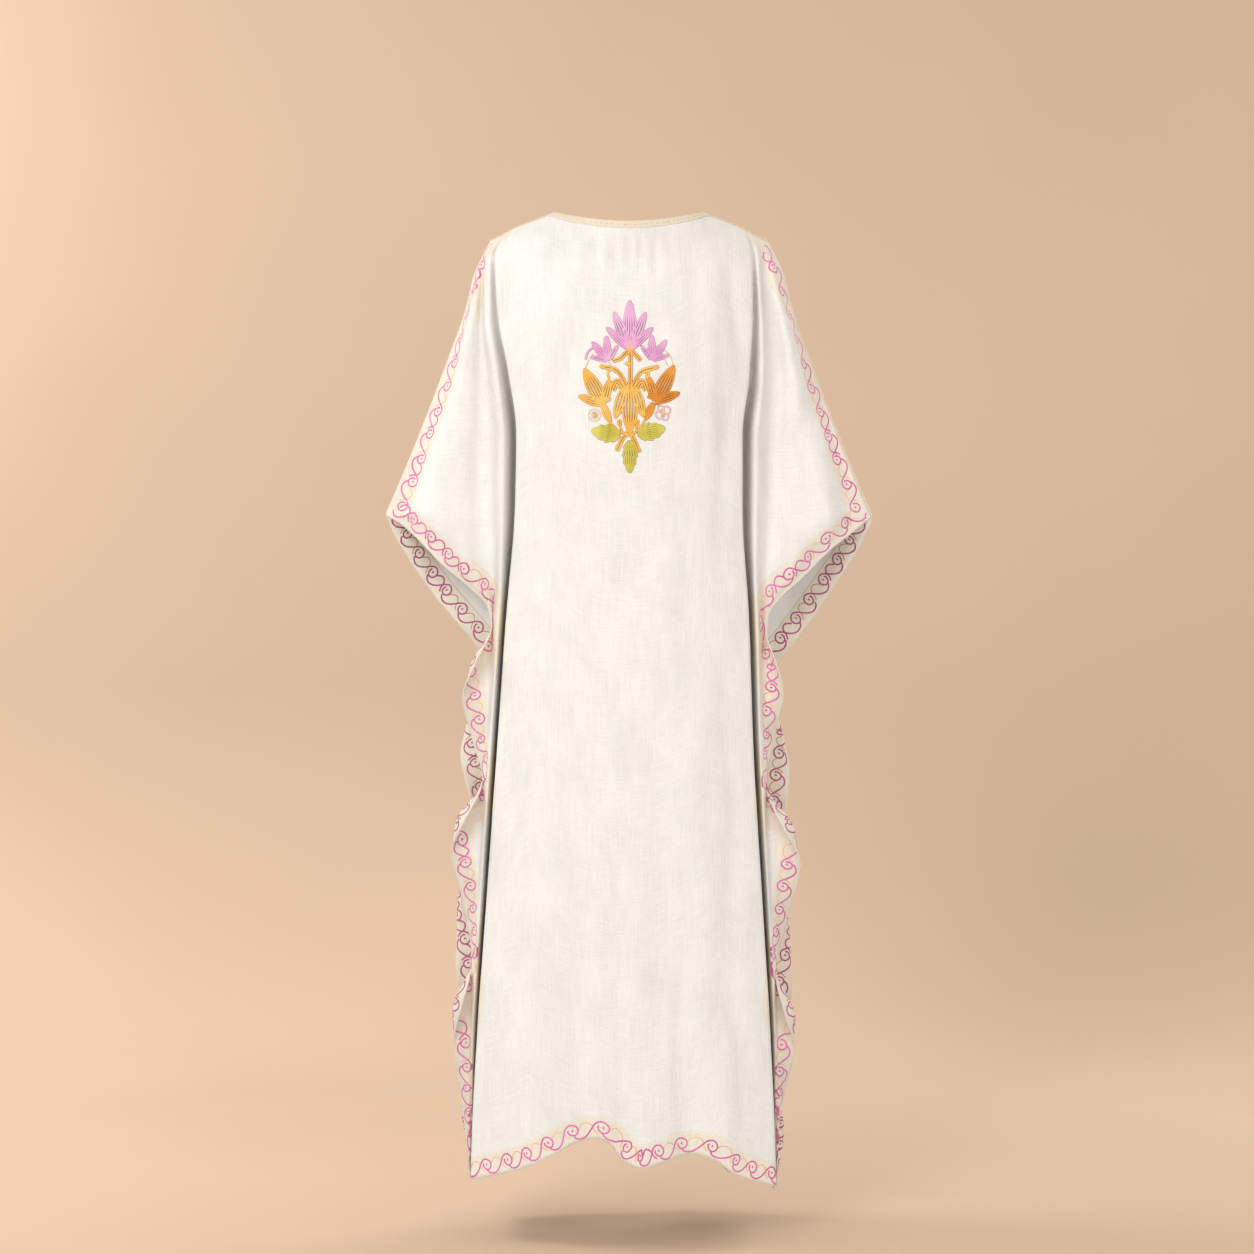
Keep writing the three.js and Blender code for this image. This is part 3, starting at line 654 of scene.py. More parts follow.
def thread_group():
    """Sheen of worsted thread: a twist across the stitches and slow change of dye."""
    group, given, result = new_group(
        "crewel thread",
        [("Twist", "NodeSocketFloat", 0.0012)],
        [("Height", "NodeSocketFloat"), ("Dye", "NodeSocketFloat")],
    )
    coords = new_node(group, "ShaderNodeTexCoord")
    fibre = new_node(group, "ShaderNodeTexNoise")
    fibre.inputs["Detail"].default_value = 3.0
    group.links.new(coords.outputs["Object"], fibre.inputs["Vector"])
    scale = math_node(group, "DIVIDE", 1.0, given.outputs["Twist"])
    group.links.new(scale, fibre.inputs["Scale"])
    dye = new_node(group, "ShaderNodeTexNoise")
    dye.inputs["Scale"].default_value = 28.0
    dye.inputs["Detail"].default_value = 2.0
    group.links.new(coords.outputs["Object"], dye.inputs["Vector"])
    group.links.new(fibre.outputs["Fac"], result.inputs["Height"])
    group.links.new(dye.outputs["Fac"], result.inputs["Dye"])
    return group


def shared_group(name, maker):
    return bpy.data.node_groups.get(name) or maker()


def ramp(tree, value, stops):
    """A colour ramp fed by a value, from (position, colour) stops."""
    node = new_node(tree, "ShaderNodeValToRGB")
    elements = node.color_ramp.elements
    while len(elements) < len(stops):
        elements.new(0.5)
    for element, (position, color) in zip(elements, stops):
        element.position = position
        element.color = (*color, 1)
    tree.links.new(value, node.inputs[0])
    return node.outputs[0]


def new_material(name):
    material = bpy.data.materials.new(name)
    material.use_nodes = True
    tree = material.node_tree
    return material, tree, tree.nodes["Principled BSDF"]


def add_bump(tree, shader, height, strength, distance):
    bump = new_node(tree, "ShaderNodeBump")
    bump.inputs["Strength"].default_value = strength
    bump.inputs["Distance"].default_value = distance
    tree.links.new(height, bump.inputs["Height"])
    tree.links.new(bump.outputs[0], shader.inputs["Normal"])


def shaded(color, factor):
    return tuple(channel * factor for channel in color)


def cotton_material(name, color, slub, border_and_warm_shade_color=None):
    """Slubbed cotton; where it has a turned border, that is a little creamier and warmer, partly the
    second layer's own colour and partly painted warm shade.
    """
    material, tree, shader = new_material(name)
    weave = new_node(tree, "ShaderNodeGroup", node_tree=shared_group("slub weave", weave_group))
    weave.inputs["Slub"].default_value = slub
    ranged = math_node(tree, "DIVIDE", weave.outputs["Tone"], 3.0)
    cloth = ramp(tree, ranged, [(0.38, shaded(color, 0.87)), (0.58, color)])
    if border_and_warm_shade_color:
        # The border tint is partly the double layer's own cream and partly painted warm shade, the glow
        # of light through the thin cotton in shaded folds.
        edge = new_node(tree, "ShaderNodeAttribute", attribute_name="border")
        inside = math_node(tree, "LESS_THAN", edge.outputs["Fac"], 0.034)
        mix = new_node(tree, "ShaderNodeMix", data_type="RGBA", blend_type="MULTIPLY")
        mix.inputs[7].default_value = (*border_and_warm_shade_color, 1)
        tree.links.new(inside, mix.inputs[0])
        tree.links.new(cloth, mix.inputs[6])
        cloth = mix.outputs[2]
    tree.links.new(cloth, shader.inputs["Base Color"])
    shader.inputs["Roughness"].default_value = 0.88
    shader.inputs["Sheen Weight"].default_value = 0.25
    shader.inputs["Sheen Roughness"].default_value = 0.5
    shader.inputs["Specular IOR Level"].default_value = 0.2
    add_bump(tree, shader, weave.outputs["Height"], 0.85, 0.0007)
    return material


def thread_material(name, light, dark, gap=0.62):
    """Dyed thread with painted shade: darker low down between the rows than on their crowns."""
    material, tree, shader = new_material(name)
    thread = new_node(tree, "ShaderNodeGroup", node_tree=shared_group("crewel thread", thread_group))
    dyed = ramp(tree, thread.outputs["Dye"], [(0.36, dark), (0.62, light)])
    crown = new_node(tree, "ShaderNodeAttribute", attribute_name="crown")
    # Painted shade: the gap factor darkens each row's sides and underside, where neighbouring rows would
    # shade it.
    depth = ramp(tree, crown.outputs["Fac"], [(0.15, (gap, gap * 0.9, gap * 0.9)), (0.75, (1, 1, 1))])
    mix = new_node(tree, "ShaderNodeMix", data_type="RGBA", blend_type="MULTIPLY")
    mix.inputs[0].default_value = 1.0
    tree.links.new(dyed, mix.inputs[6])
    tree.links.new(depth, mix.inputs[7])
    tree.links.new(mix.outputs[2], shader.inputs["Base Color"])
    shader.inputs["Roughness"].default_value = 0.6
    shader.inputs["Sheen Weight"].default_value = 0.3
    shader.inputs["Sheen Roughness"].default_value = 0.4
    shader.inputs["Specular IOR Level"].default_value = 0.3
    add_bump(tree, shader, thread.outputs["Height"], 0.5, 0.0003)
    return material


# ---- Settings ----------------------------------------------------------------------------------


def color_property(name, description, default):
    return FloatVectorProperty(
        name=name, description=description, default=default, subtype="COLOR", size=3, min=0, max=1
    )


def length_property(name, description, default):
    return FloatProperty(
        name=name, description=description, default=default, min=0, unit="LENGTH", subtype="DISTANCE"
    )


class KaftanCloth(bpy.types.PropertyGroup):
    """Sizes and colours of the cotton panels and the binding."""

    thickness: length_property("Cloth thickness", "Thickness of the cotton", 0.8 * MM)
    border: length_property("Border width", "Width of the turned border on every edge", 34 * MM)
    crease_scale: FloatProperty(
        name="Creases", description="How deep the soft creases are", default=1.0, min=0, max=2,
        subtype="FACTOR",
    )
    slub: FloatProperty(
        name="Slubs", description="How uneven the yarn is", default=1.0, min=0, max=2,
        subtype="FACTOR",
    )
    cotton: color_property("Cotton", "Colour of the cotton", srgb(249, 246, 241))
    # Partly the second layer's own colour, partly painted warm shade for light through the cotton.
    border_tint_and_warm_shade: color_property("Border tint", "Tint of the border's second layer", (1.0, 0.93, 0.82))
    binding: color_property("Binding", "Colour of the neck binding", srgb(250, 237, 216))


class KaftanThread(bpy.types.PropertyGroup):
    """Sizes and colours of the embroidery."""

    width: length_property("Thread width", "Width of a line of chain stitch", 3.8 * MM)
    height: length_property("Thread height", "Height of a line of chain stitch", 2.0 * MM)
    repeat: length_property("Repeat", "Length of one scroll of the border", 36 * MM)
    magenta: color_property("Magenta", "Main line of the border", srgb(230, 122, 184))
    magenta_dark: color_property("Deep magenta", "Darker dye of the main line", srgb(212, 98, 158))
    peach: color_property("Peach", "Thin line of the border", srgb(240, 172, 136))
    yellow: color_property("Yellow", "Lighter dye of the thin line", srgb(243, 206, 150))
    pink: color_property("Pink", "Flowers of the motif", srgb(242, 190, 224))
    pink_dark: color_property("Deep pink", "Darker dye of the flowers", srgb(228, 164, 206))
    orange: color_property("Orange", "Stems and leaves of the motif", srgb(248, 200, 108))
    orange_dark: color_property("Deep orange", "Darker dye of the stems", srgb(242, 180, 78))
    amber: color_property("Amber", "The darker leaf", srgb(236, 160, 62))
    amber_dark: color_property("Deep amber", "Darker dye of that leaf", srgb(222, 138, 42))
    green: color_property("Green", "Lower leaves of the motif", srgb(228, 214, 104))
    green_dark: color_property("Deep green", "Darker dye of the lower leaves", srgb(206, 192, 78))
    pale: color_property("Pale thread", "Faint lines beside the flowers", srgb(248, 214, 176))
    blush: color_property("Blush", "The small faint blossom", srgb(240, 192, 196))


class KaftanStage(bpy.types.PropertyGroup):
    """Camera, light and backdrop."""

    focal_length: FloatProperty(
        name="Focal length", description="Focal length of the camera", default=88.5, min=10,
        subtype="DISTANCE_CAMERA",
    )
    key_power: FloatProperty(
        name="Key light", description="Power of the large soft light", default=66, min=0,
        unit="POWER",
    )
    fill_power: FloatProperty(
        name="Fill light", description="Power of the weaker light", default=38, min=0, unit="POWER"
    )
    wall_power: FloatProperty(
        name="Wall light", description="Power of the light on the wall", default=30, min=0,
        unit="POWER",
    )
    backdrop: color_property("Backdrop", "Colour of the floor and the wall", srgb(219, 190, 164))


# ---- Operators ---------------------------------------------------------------------------------

FLOOR_Z = -1.480
PANEL_GAP = 0.05 * MM
CLOTHS = {}


def get_cloth(panel):
    """A panel's surface, worked out once."""
    if panel["name"] not in CLOTHS:
        scale = bpy.context.scene.kaftan_cloth.crease_scale
        CLOTHS[panel["name"]] = Cloth(panel, scale)
    return CLOTHS[panel["name"]]


def finish_piece(piece, node=None):
    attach(piece, "root")
    if node:
        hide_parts(node)


class KAFTAN_OT_stage(bpy.types.Operator):
    """Makes the camera, the lights and a round backdrop with its floor"""

    bl_idname = "kaftan.stage"
    bl_label = "Stage"

    def execute(self, context):
        settings = context.scene.kaftan_stage
        self.make_camera(context, settings)
        self.make_lights(context, settings)
        self.make_backdrop(settings)
        return {"FINISHED"}

    def make_camera(self, context, settings):
        camera = bpy.data.objects.new("camera", bpy.data.cameras.new("camera"))
        camera.data.sensor_width = 36
        camera.data.lens = settings.focal_length
        camera.location = (0.003, 4.5, -0.604)
        camera.rotation_euler = (math.radians(90), 0, math.radians(180))
        context.scene.collection.objects.link(camera)
        context.scene.camera = camera

    def make_lights(self, context, settings):
        middle, wall = (0, 0, -0.65), (1.5, -1.4, -1.0)
        for name, place, target, size, power in (
            ("key", (1.8, 3.4, 1.0), middle, 1.8, settings.key_power),
            ("fill", (-1.6, 3.8, -0.8), middle, 2.2, settings.fill_power),
            ("front_key", (-2.6, -2.9, 0.9), middle, 2.4, settings.key_power * 1.1),
            ("wall_glow", (1.9, -0.4, 0.8), wall, 1.0, settings.wall_power),
        ):
            light = bpy.data.lights.new(name, "AREA")
            light.size = size
            light.color = (0.985, 0.99, 1.0)
            light.energy = power
            lamp = bpy.data.objects.new(name, light)
            lamp.location = place
            lamp.visible_camera = False
            aim = Vector(target) - Vector(place)
            lamp.rotation_euler = aim.to_track_quat("-Z", "Y").to_euler()
            context.scene.collection.objects.link(lamp)
        world = bpy.data.worlds.new("studio")
        world.use_nodes = True
        background = world.node_tree.nodes["Background"]
        background.inputs["Color"].default_value = (1.0, 0.945, 0.87, 1)
        background.inputs["Strength"].default_value = 0.6
        context.scene.world = world
        context.scene.view_settings.view_transform = "Standard"

    def make_backdrop(self, settings):
        """A floor that curves up into a round wall, which only its inner face shows."""
        floor_radius, bend, wall_top = 1.45, 0.75, 1.6
        profile = [(r, FLOOR_Z) for r in (0.0, 0.5, 1.0, floor_radius)]
        for k in range(1, 13):
            angle = math.pi / 2 * k / 12
            out, rise = bend * math.sin(angle), bend * (1 - math.cos(angle))
            profile.append((floor_radius + out, FLOOR_Z + rise))
        profile.append((floor_radius + bend, wall_top))
        around = 96
        angles = np.arange(around) * 2 * math.pi / around
        rings = [[(r * math.cos(t), r * math.sin(t), z) for t in angles] for r, z in profile[1:]]
        points = np.array([(0, 0, FLOOR_Z)] + [p for ring in rings for p in ring])
        index = 1 + np.arange(len(rings) * around).reshape(len(rings), around)
        turned = np.roll(index, -1, axis=1)
        quads = np.stack([index[:-1], index[1:], turned[1:], turned[:-1]], -1).reshape(-1, 4)
        faces = [[0, int(a), int(b)] for a, b in zip(index[0], turned[0])] + quads.tolist()
        mesh = bpy.data.meshes.new("backdrop")
        mesh.from_pydata(points.tolist(), [], faces)
        mesh.polygons.foreach_set("use_smooth", np.ones(len(mesh.polygons), bool))
        mesh.materials.append(backdrop_material(settings.backdrop))
        backdrop = bpy.data.objects.new("backdrop", mesh)
        backdrop.visible_shadow = False
        backdrop.visible_diffuse = False
        bpy.context.scene.collection.objects.link(backdrop)


def backdrop_material(color):
    """Matt paper, seen through from behind so that the ring never hides the garment."""
    material, tree, shader = new_material("backdrop_paper")
    coords = new_node(tree, "ShaderNodeTexCoord")
    grain = new_node(tree, "ShaderNodeTexNoise")
    grain.inputs["Scale"].default_value = 1.6
    tree.links.new(coords.outputs["Object"], grain.inputs["Vector"])
    tone = ramp(tree, grain.outputs["Fac"], [(0.3, shaded(color, 0.97)), (0.7, tuple(color))])
    tree.links.new(tone, shader.inputs["Base Color"])
    shader.inputs["Roughness"].default_value = 0.9
    shader.inputs["Specular IOR Level"].default_value = 0.1
    clear = new_node(tree, "ShaderNodeBsdfTransparent")
    sight = new_node(tree, "ShaderNodeNewGeometry")
    mix = new_node(tree, "ShaderNodeMixShader")
    tree.links.new(sight.outputs["Backfacing"], mix.inputs[0])
    tree.links.new(shader.outputs[0], mix.inputs[1])
    tree.links.new(clear.outputs[0], mix.inputs[2])
    tree.links.new(mix.outputs[0], tree.nodes["Material Output"].inputs["Surface"])
    return material


def border_distance(cloth):
    """Distance of each grid point from the free edges, the sleeve tops and the hem, in metres."""
    points = cloth.points
    edges = [points[:, 0], points[:, -1], points[-1]]
    samples = []
    for line in edges:
        rows = np.linspace(0, len(line) - 1, 4 * len(line))
        low = np.minimum(rows.astype(int), len(line) - 2)
        samples.append(blend(line[low], line[low + 1], (rows - low)[:, None]))
    samples = np.concatenate(samples)
    tree = KDTree(len(samples))
    for k, point in enumerate(samples):
        tree.insert(point, k)
    tree.balance()
    flat = points.reshape(-1, 3)
    return np.array([tree.find(point)[2] for point in flat]).reshape(points.shape[:2])


class KAFTAN_OT_panels(bpy.types.Operator):
    """Makes the back and the front panel as thin walls of cotton with their creases"""

    bl_idname = "kaftan.panels"
    bl_label = "Cloth panels"

    def execute(self, context):
        settings = context.scene.kaftan_cloth
        cotton = cotton_material(
            "cotton_cloth", tuple(settings.cotton), settings.slub, tuple(settings.border_tint_and_warm_shade)
        )
        for panel, node, area in ((BACK, "back_panel", 1.03), (FRONT, "front_panel", 1.03)):
            piece = self.make_panel(panel, settings, cotton)
            finish_piece(piece, node)
        return {"FINISHED"}

    def make_panel(self, panel, settings, material):
        cloth = get_cloth(panel)
        distance = border_distance(cloth)
        second_layer = clamp01((settings.border - distance) / MM) * 0.5 * MM
        half = (settings.thickness + second_layer)[..., None] / 2
        name = "cloth_" + panel["name"]
        piece = make_wall(name, panel, cloth.points, cloth.normals, half, PANEL_GAP, material)
        add_values(piece, "border", np.tile(distance.ravel(), 2))
        return piece


BINDING_HALF = 0.25 * MM
BINDING_GAP = 0.03 * MM
BINDING_END = 117.0
BINDING_REACH = columns(
    "across back front",
    (0, 10, 12), (54, 10, 13), (82, 10, 16), (96, 10, 20), (NECK_HALF, 8, 15), (BINDING_END, 4, 5),
)
# Section of the folded binding: how far down the cloth as a share of its reach, and how far it
# stands off the cloth, from its inner edge over the top to its outer edge.
BINDING_SECTION = columns(
    "down off lift",
    (0.80, -1.0, 0), (0.55, -1.15, 0), (0.28, -1.2, 0), (0.08, -1.2, 0.2), (0.0, -0.7, 0.95),
    (0.0, 0.0, 1.25), (0.0, 0.7, 0.95), (0.08, 1.3, 0.2), (0.24, 1.5, 0), (0.42, 1.45, 0),
    (0.60, 1.3, 0), (0.78, 1.35, 0), (0.90, 1.3, 0), (1.0, 0.95, 0),
)


class KAFTAN_OT_binding(bpy.types.Operator):
    """Makes the folded bias binding round the neck"""

    bl_idname = "kaftan.binding"
    bl_label = "Neck binding"

    def execute(self, context):
        settings = context.scene.kaftan_cloth
        threads = context.scene.kaftan_thread
        material = cotton_material("binding_cloth", tuple(settings.binding), 0.6)
        gold = thread_material("binding_thread", tuple(threads.yellow), tuple(threads.orange), 0.85)
        for panel, node in ((BACK, "neck_binding_back"), (FRONT, "neck_binding_front")):
            piece = self.make_binding(panel, material)
            finish_piece(piece, node)
            piece = self.make_stitches(panel, gold)
            finish_piece(piece)
        return {"FINISHED"}

    def place_at(self, panel, across, share):
        """Points on a panel under its binding, at a share of the binding's reach, and normals."""
        reach = read(BINDING_REACH, "across", panel["name"], np.abs(across) * TURN_AT_SEAM)
        drop = SHOULDER_DROP + reach * share
        place = form(panel, across, drop)
        below = form(panel, across, drop + 2)
        beside = form(panel, across - 0.01, drop)
        return place, panel["facing"] * unit(np.cross(below - place, beside - place))

    def make_stitches(self, panel, material):
        """Short running stitches along the middle of the binding."""
        chance = np.random.default_rng(5)
        last = 0.66
        fine = np.linspace(last, -last, 1500)
        place, normal = self.place_at(panel, fine, np.full_like(fine, 0.5))
        run = running_length(place)
        lines, start = [], 3.0
        while start < run[-1] - 8:
            length = chance.uniform(2.4, 5.0)
            at = np.interp(np.arange(start, start + length, 0.6), run, np.arange(len(run)))
            low = at.astype(int)
            points = (place[low] + normal[low] * 1.75) * MM
            lines.append((points, normal[low], np.ones(len(points))))
            start += length + chance.uniform(2.6, 7.0)
        return thread_mesh("binding_stitches_" + panel["name"], lines, material, BINDING_STITCH)

    def make_binding(self, panel, material):
        last = BINDING_END / TURN_AT_SEAM
        across = np.linspace(last, -last, 241)
        pucker = 1 + 0.10 * np.sin(across * 171) * np.sin(across * 43 + 1)
        rows = []
        top = form(panel, across, np.full_like(across, SHOULDER_DROP))
        under = form(panel, across, np.full_like(across, SHOULDER_DROP + 3))
        rise = unit(top - under)
        for down, off, lift in table_rows(BINDING_SECTION):
            place, normal = self.place_at(panel, across, down)
            moved = place + normal * (off * pucker)[:, None] + rise * lift
            stand = np.maximum(panel["facing"] * moved[:, 1], 0.05)
            moved[:, 1] = panel["facing"] * stand
            rows.append(moved * MM)
        grid = np.stack(rows)
        normals = panel["facing"] * grid_normals(grid)
        name = "binding_" + panel["name"]
        return make_wall(name, panel, grid, normals, BINDING_HALF, BINDING_GAP, material)


class Band:
    """A strip of cloth along an edge, read by the distance along it and in from the edge."""

    STEP = 2 * MM
    WIDTH = 0.036

    def __init__(self, cloth, rows, cols, inward):
        line = cloth.at(rows, cols)[0]
        run = running_length(line)
        self.length = run[-1]
        self.along = np.arange(0, self.length, self.STEP)
        rows, cols = np.interp(self.along, run, rows), np.interp(self.along, run, cols)
        line = cloth.at(rows, cols)[0]
        tangent = unit(np.gradient(line, axis=0))
        down, over = cloth.slopes(rows, cols)
        guess = inward[0] * down + inward[1] * over
        heading = unit(guess - tangent * (guess * tangent).sum(-1, keepdims=True))
        places = [np.stack([rows, cols], -1)]
        for _ in range(int(self.WIDTH / self.STEP) * 2):
            down, over = cloth.slopes(rows, cols)
            normal = unit(np.cross(down, over))
            heading = unit(heading - normal * (heading * normal).sum(-1, keepdims=True))
            d_row, d_col = cloth.step(rows, cols, heading * self.STEP / 2)
            rows, cols = rows + np.clip(d_row, -2, 2), cols + np.clip(d_col, -2, 2)
            places.append(np.stack([rows, cols], -1))
        self.places = np.stack(places[::2])
        self.cloth = cloth

    def at(self, along, inward):
        """Points and normals at distances along the edge and in from it."""
        place = read_grid(self.places, inward / self.STEP, along / self.STEP)
        return self.cloth.at(place[..., 0], place[..., 1])


def make_bands(cloth):
    """The five bordered edges of a panel: two sleeve tops, two free sides and the hem."""
    rows, cols = cloth.points.shape[:2]
    tip, last_row, last_col = cloth.tip_row, rows - 1, cols - 1
    upper, lower = np.arange(0, tip + 1.0), np.arange(tip, last_row + 1.0)
    across = np.arange(0, last_col + 1.0)
    return {
        "top_left": Band(cloth, upper, np.zeros_like(upper), (0, 1)),
        "side_left": Band(cloth, lower, np.zeros_like(lower), (0, 1)),
        "hem": Band(cloth, np.full_like(across, last_row), across, (-1, 0)),
        "side_right": Band(cloth, lower, np.full_like(lower, last_col), (0, -1)),
        "top_right": Band(cloth, upper, np.full_like(upper, last_col), (0, -1)),
    }


class KAFTAN_OT_stitching(bpy.types.Operator):
    """Sews the seams and the stitch line of the turned borders"""

    bl_idname = "kaftan.stitching"
    bl_label = "Seams and stitching"

    def execute(self, context):
        settings, threads = context.scene.kaftan_cloth, context.scene.kaftan_thread
        white = thread_material("sewing_thread", tuple(settings.cotton), shaded(settings.cotton, 0.93))
        gold = thread_material("seam_thread", tuple(threads.orange), tuple(threads.yellow))
        for panel in (BACK, FRONT):
            cloth = get_cloth(panel)
            lines = []
            for band in make_bands(cloth).values():
                along = np.arange(3 * MM, band.length - 3 * MM, 1.5 * MM)
                points, normals = band.at(along, np.full_like(along, settings.border - 1.5 * MM))
                lines.append((points, normals, np.ones(len(points))))
            piece = thread_mesh("hem_stitches_" + panel["name"], lines, white, HEM_STITCH)
            finish_piece(piece)
            lines = [self.shoulder_line(cloth, sign, 1.0) for sign in (-1, 1)]
            piece = thread_mesh("shoulder_stitches_" + panel["name"], lines, gold, SHOULDER_STITCH)
            finish_piece(piece)
        cotton = bpy.data.materials["cotton_cloth"]
        for sign, name in ((1, "seam_left"), (-1, "seam_right")):
            piece = thread_mesh(name, [self.seam_line(sign)], cotton, SEAM_STITCH)
            count = len(piece.data.vertices)
            add_cloth_map(piece, np.zeros((count, 2)))
            add_values(piece, "border", np.zeros(count))
            finish_piece(piece)
        return {"FINISHED"}

    def columns_from_neck(self, cloth, sign):
        """Columns of the top row from the neck point to the outer end of the shoulder."""
        across = np.linspace((BINDING_END + 1) / TURN_AT_SEAM, 4.9, 90) * sign
        return np.interp(-across, -cloth.across, np.arange(len(cloth.across)))

    def shoulder_line(self, cloth, sign, down):
        cols = self.columns_from_neck(cloth, sign)
        points, normals = cloth.at(np.full_like(cols, down), cols)
        run = running_length(points)
        even = np.interp(np.arange(0, run[-1], 1.0 * MM), run, cols)
        points, normals = cloth.at(np.full_like(even, down), even)
        return points + normals * 0.5 * MM, normals, np.ones(len(points))

    def seam_line(self, sign):
        """The seam from the neck point over the shoulder and down the sleeve to its tip."""
        cloth = get_cloth(BACK)
        shoulder = cloth.at(np.zeros(90), self.columns_from_neck(cloth, sign))[0]
        rows = np.arange(1.0, cloth.tip_row + 0.5)
        edge = 0.0 if sign > 0 else cloth.points.shape[1] - 1.0
        sleeve = cloth.at(rows, np.full_like(rows, edge))[0]
        line = np.concatenate([shoulder, sleeve])
        line[:, 1] = 0
        run = running_length(line)
        even = np.arange(0, run[-1], 2.0 * MM)
        line = np.stack([np.interp(even, run, line[:, k]) for k in range(3)], 1)
        return line, np.tile([0.0, 1.0, 0.0], (len(line), 1)), np.ones(len(line))


# One scroll of the border: share of the repeat along the edge, and millimetres in from it. The
# stem swings along the outer side and winds into a ring; the arch closes the inner side between
# two rings.
SCROLL = columns(
    "along inward",
    (-0.28, 12), (-0.16, 7.6), (0.0, 5.8), (0.15, 7), (0.29, 11), (0.41, 17), (0.52, 23.5),
    (0.66, 27.6), (0.82, 26.8), (0.94, 22), (0.93, 15.8), (0.80, 12.2), (0.66, 14.2),
    (0.60, 19.4), (0.64, 22.6),
)
ARCH = columns(
    "along inward", (-0.04, 18), (0.05, 23.5), (0.18, 27), (0.32, 26), (0.43, 22), (0.50, 15), (0.62, 9.5)
)
RING_CENTRE = (0.77, 19.8)


class KAFTAN_OT_border(bpy.types.Operator):
    """Embroiders the scrolling border on every edge of both panels"""

    bl_idname = "kaftan.border"
    bl_label = "Border embroidery"

    def execute(self, context):
        settings = context.scene.kaftan_thread
        main = thread_material("magenta_thread", tuple(settings.magenta), tuple(settings.magenta_dark))
        thin = thread_material("peach_thread", tuple(settings.yellow), tuple(settings.peach))
        for panel, seed in ((BACK, 3), (FRONT, 8)):
            chance = np.random.default_rng(seed)
            bands = make_bands(get_cloth(panel))
            scrolls, arches = [], []
            for band in bands.values():
                self.add_repeats(band, settings.repeat, chance, scrolls, arches)
            stitch = (settings.width, settings.height, SCROLL_PITCH)
            piece = thread_mesh("scrolls_" + panel["name"], scrolls, main, stitch)
            finish_piece(piece)
            piece = thread_mesh("arches_" + panel["name"], arches, thin, ARCH_STITCH)
            finish_piece(piece)
        return {"FINISHED"}

    def add_repeats(self, band, repeat, chance, scrolls, arches):
        """Works the stem, the knot in its ring and the arch of every repeat along an edge."""
        margin = 15 * MM
        count = max(1, round((band.length - 2 * margin) / repeat))
        pitch = (band.length - 2 * margin) / count
        turn = np.linspace(0, 2 * math.pi, 8)
        for k in range(count):
            jitter = chance.uniform(-1, 1, 3)
            start = margin + pitch * (k + 0.04 * jitter[0])
            stretch, shift = 1 + 0.05 * jitter[1], 0.8 * jitter[2]
            for table, dye in ((SCROLL, scrolls), (ARCH, scrolls if chance.random() < 0.3 else arches)):
                inward = (table["inward"] * stretch + shift) * MM
                controls = np.stack([start + pitch * table["along"], inward], -1)
                self.work(band, smooth_line(controls, 0.8 * MM), dye)
            along = start + pitch * RING_CENTRE[0] + 0.9 * MM * np.cos(turn)
            inward = (RING_CENTRE[1] * stretch + shift) * MM + 0.9 * MM * np.sin(turn)
            self.work(band, np.stack([along, inward], -1), scrolls)

    def work(self, band, path, dye):
        path = path[(path[:, 0] > 3 * MM) & (path[:, 0] < band.length - 3 * MM)]
        if len(path) > 6:
            points, normals = band.at(path[:, 0], path[:, 1])
            dye.append((points, normals, np.ones(len(points))))


# ---- The motif on the back ---------------------------------------------------------------------

# Places on the back in millimetres: side is + on the wearer's left. Lobed flowers and leaves
# grow from their base to their tip, and spread is the angle of their outermost lobes.
LOBED = columns(
    "color base_side base_drop tip_side tip_drop lobes spread",
    (0, -1, 210, -1, 138, 5, 46), (0, 30, 226, 45, 188, 4, 54), (0, -32, 225, -45, 186, 4, 54),
    (1, 37, 288, 64, 236, 3, 42), (2, -37, 284, -64, 232, 3, 42),
)
# Plain leaves and buds, with the number of teeth along each side.
LEAVES = columns(
    "color base_side base_drop tip_side tip_drop width teeth",
    (3, 12, 332, 53, 325, 26, 4), (3, -12, 331, -51, 321, 26, 4), (3, -1, 338, -1, 385, 22, 4),
    (1, 38, 287, 26, 314, 11, 0), (2, -35, 285, -23, 310, 11, 0), (1, 14, 309, 13, 319, 7, 0),
    (1, -12, 309, -11, 319, 7, 0), (1, -27, 238, -25, 252, 6, 0), (1, -1, 196, -1, 214, 10, 0),
    (1, 5, 262, 20, 308, 17, 0), (1, -7, 262, -21, 306, 17, 0), (1, -1, 258, -1, 330, 25, 0),
    (1, 41, 232, 35, 236, 6, 0), (1, -42, 233, -36, 237, 6, 0), (1, 6, 229, -3, 231, 5, 0),
)
# Stems: three places each, and how many rows of stitches lie side by side.
STEMS = columns(
    "color side_a drop_a side_b drop_b side_c drop_c rows",
    (1, -1, 210, -2, 232, -1, 268, 2), (1, 0, 210, 12, 222, 24, 226, 2),
    (1, -2, 210, -9, 217, -17, 226, 2), (1, 1, 268, 16, 241, 37, 234, 2),
    (1, -3, 268, -16, 243, -38, 235, 2), (1, 42, 279, 41, 284, 42, 291, 2),
    (1, 40, 276, 32, 281, 26, 278, 2), (2, -41, 274, -41, 281, -40, 289, 2),
    (2, -40, 271, -33, 277, -26, 275, 2), (1, 3, 274, 17, 256, 24, 268, 3),
    (1, -5, 274, -18, 256, -25, 268, 3), (1, 28, 312, 14, 326, -1, 331, 1),
    (1, -24, 308, -13, 324, -2, 331, 1), (1, 13, 319, 9, 327, 0, 333, 1),
    (1, -11, 319, -9, 327, -2, 333, 1), (1, -1, 324, 10, 338, 18, 354, 2),
    (1, -1, 324, -8, 340, -15, 356, 2), (1, 28, 252, 30, 243, 24, 236, 1),
    (0, 49, 206, 58, 212, 62, 224, 1), (4, 50, 214, 58, 226, 62, 236, 1),
    (4, -50, 210, -58, 218, -63, 232, 1), (4, -46, 214, -52, 226, -55, 233, 1),
    (4, 34, 220, 26, 232, 20, 244, 1),
)
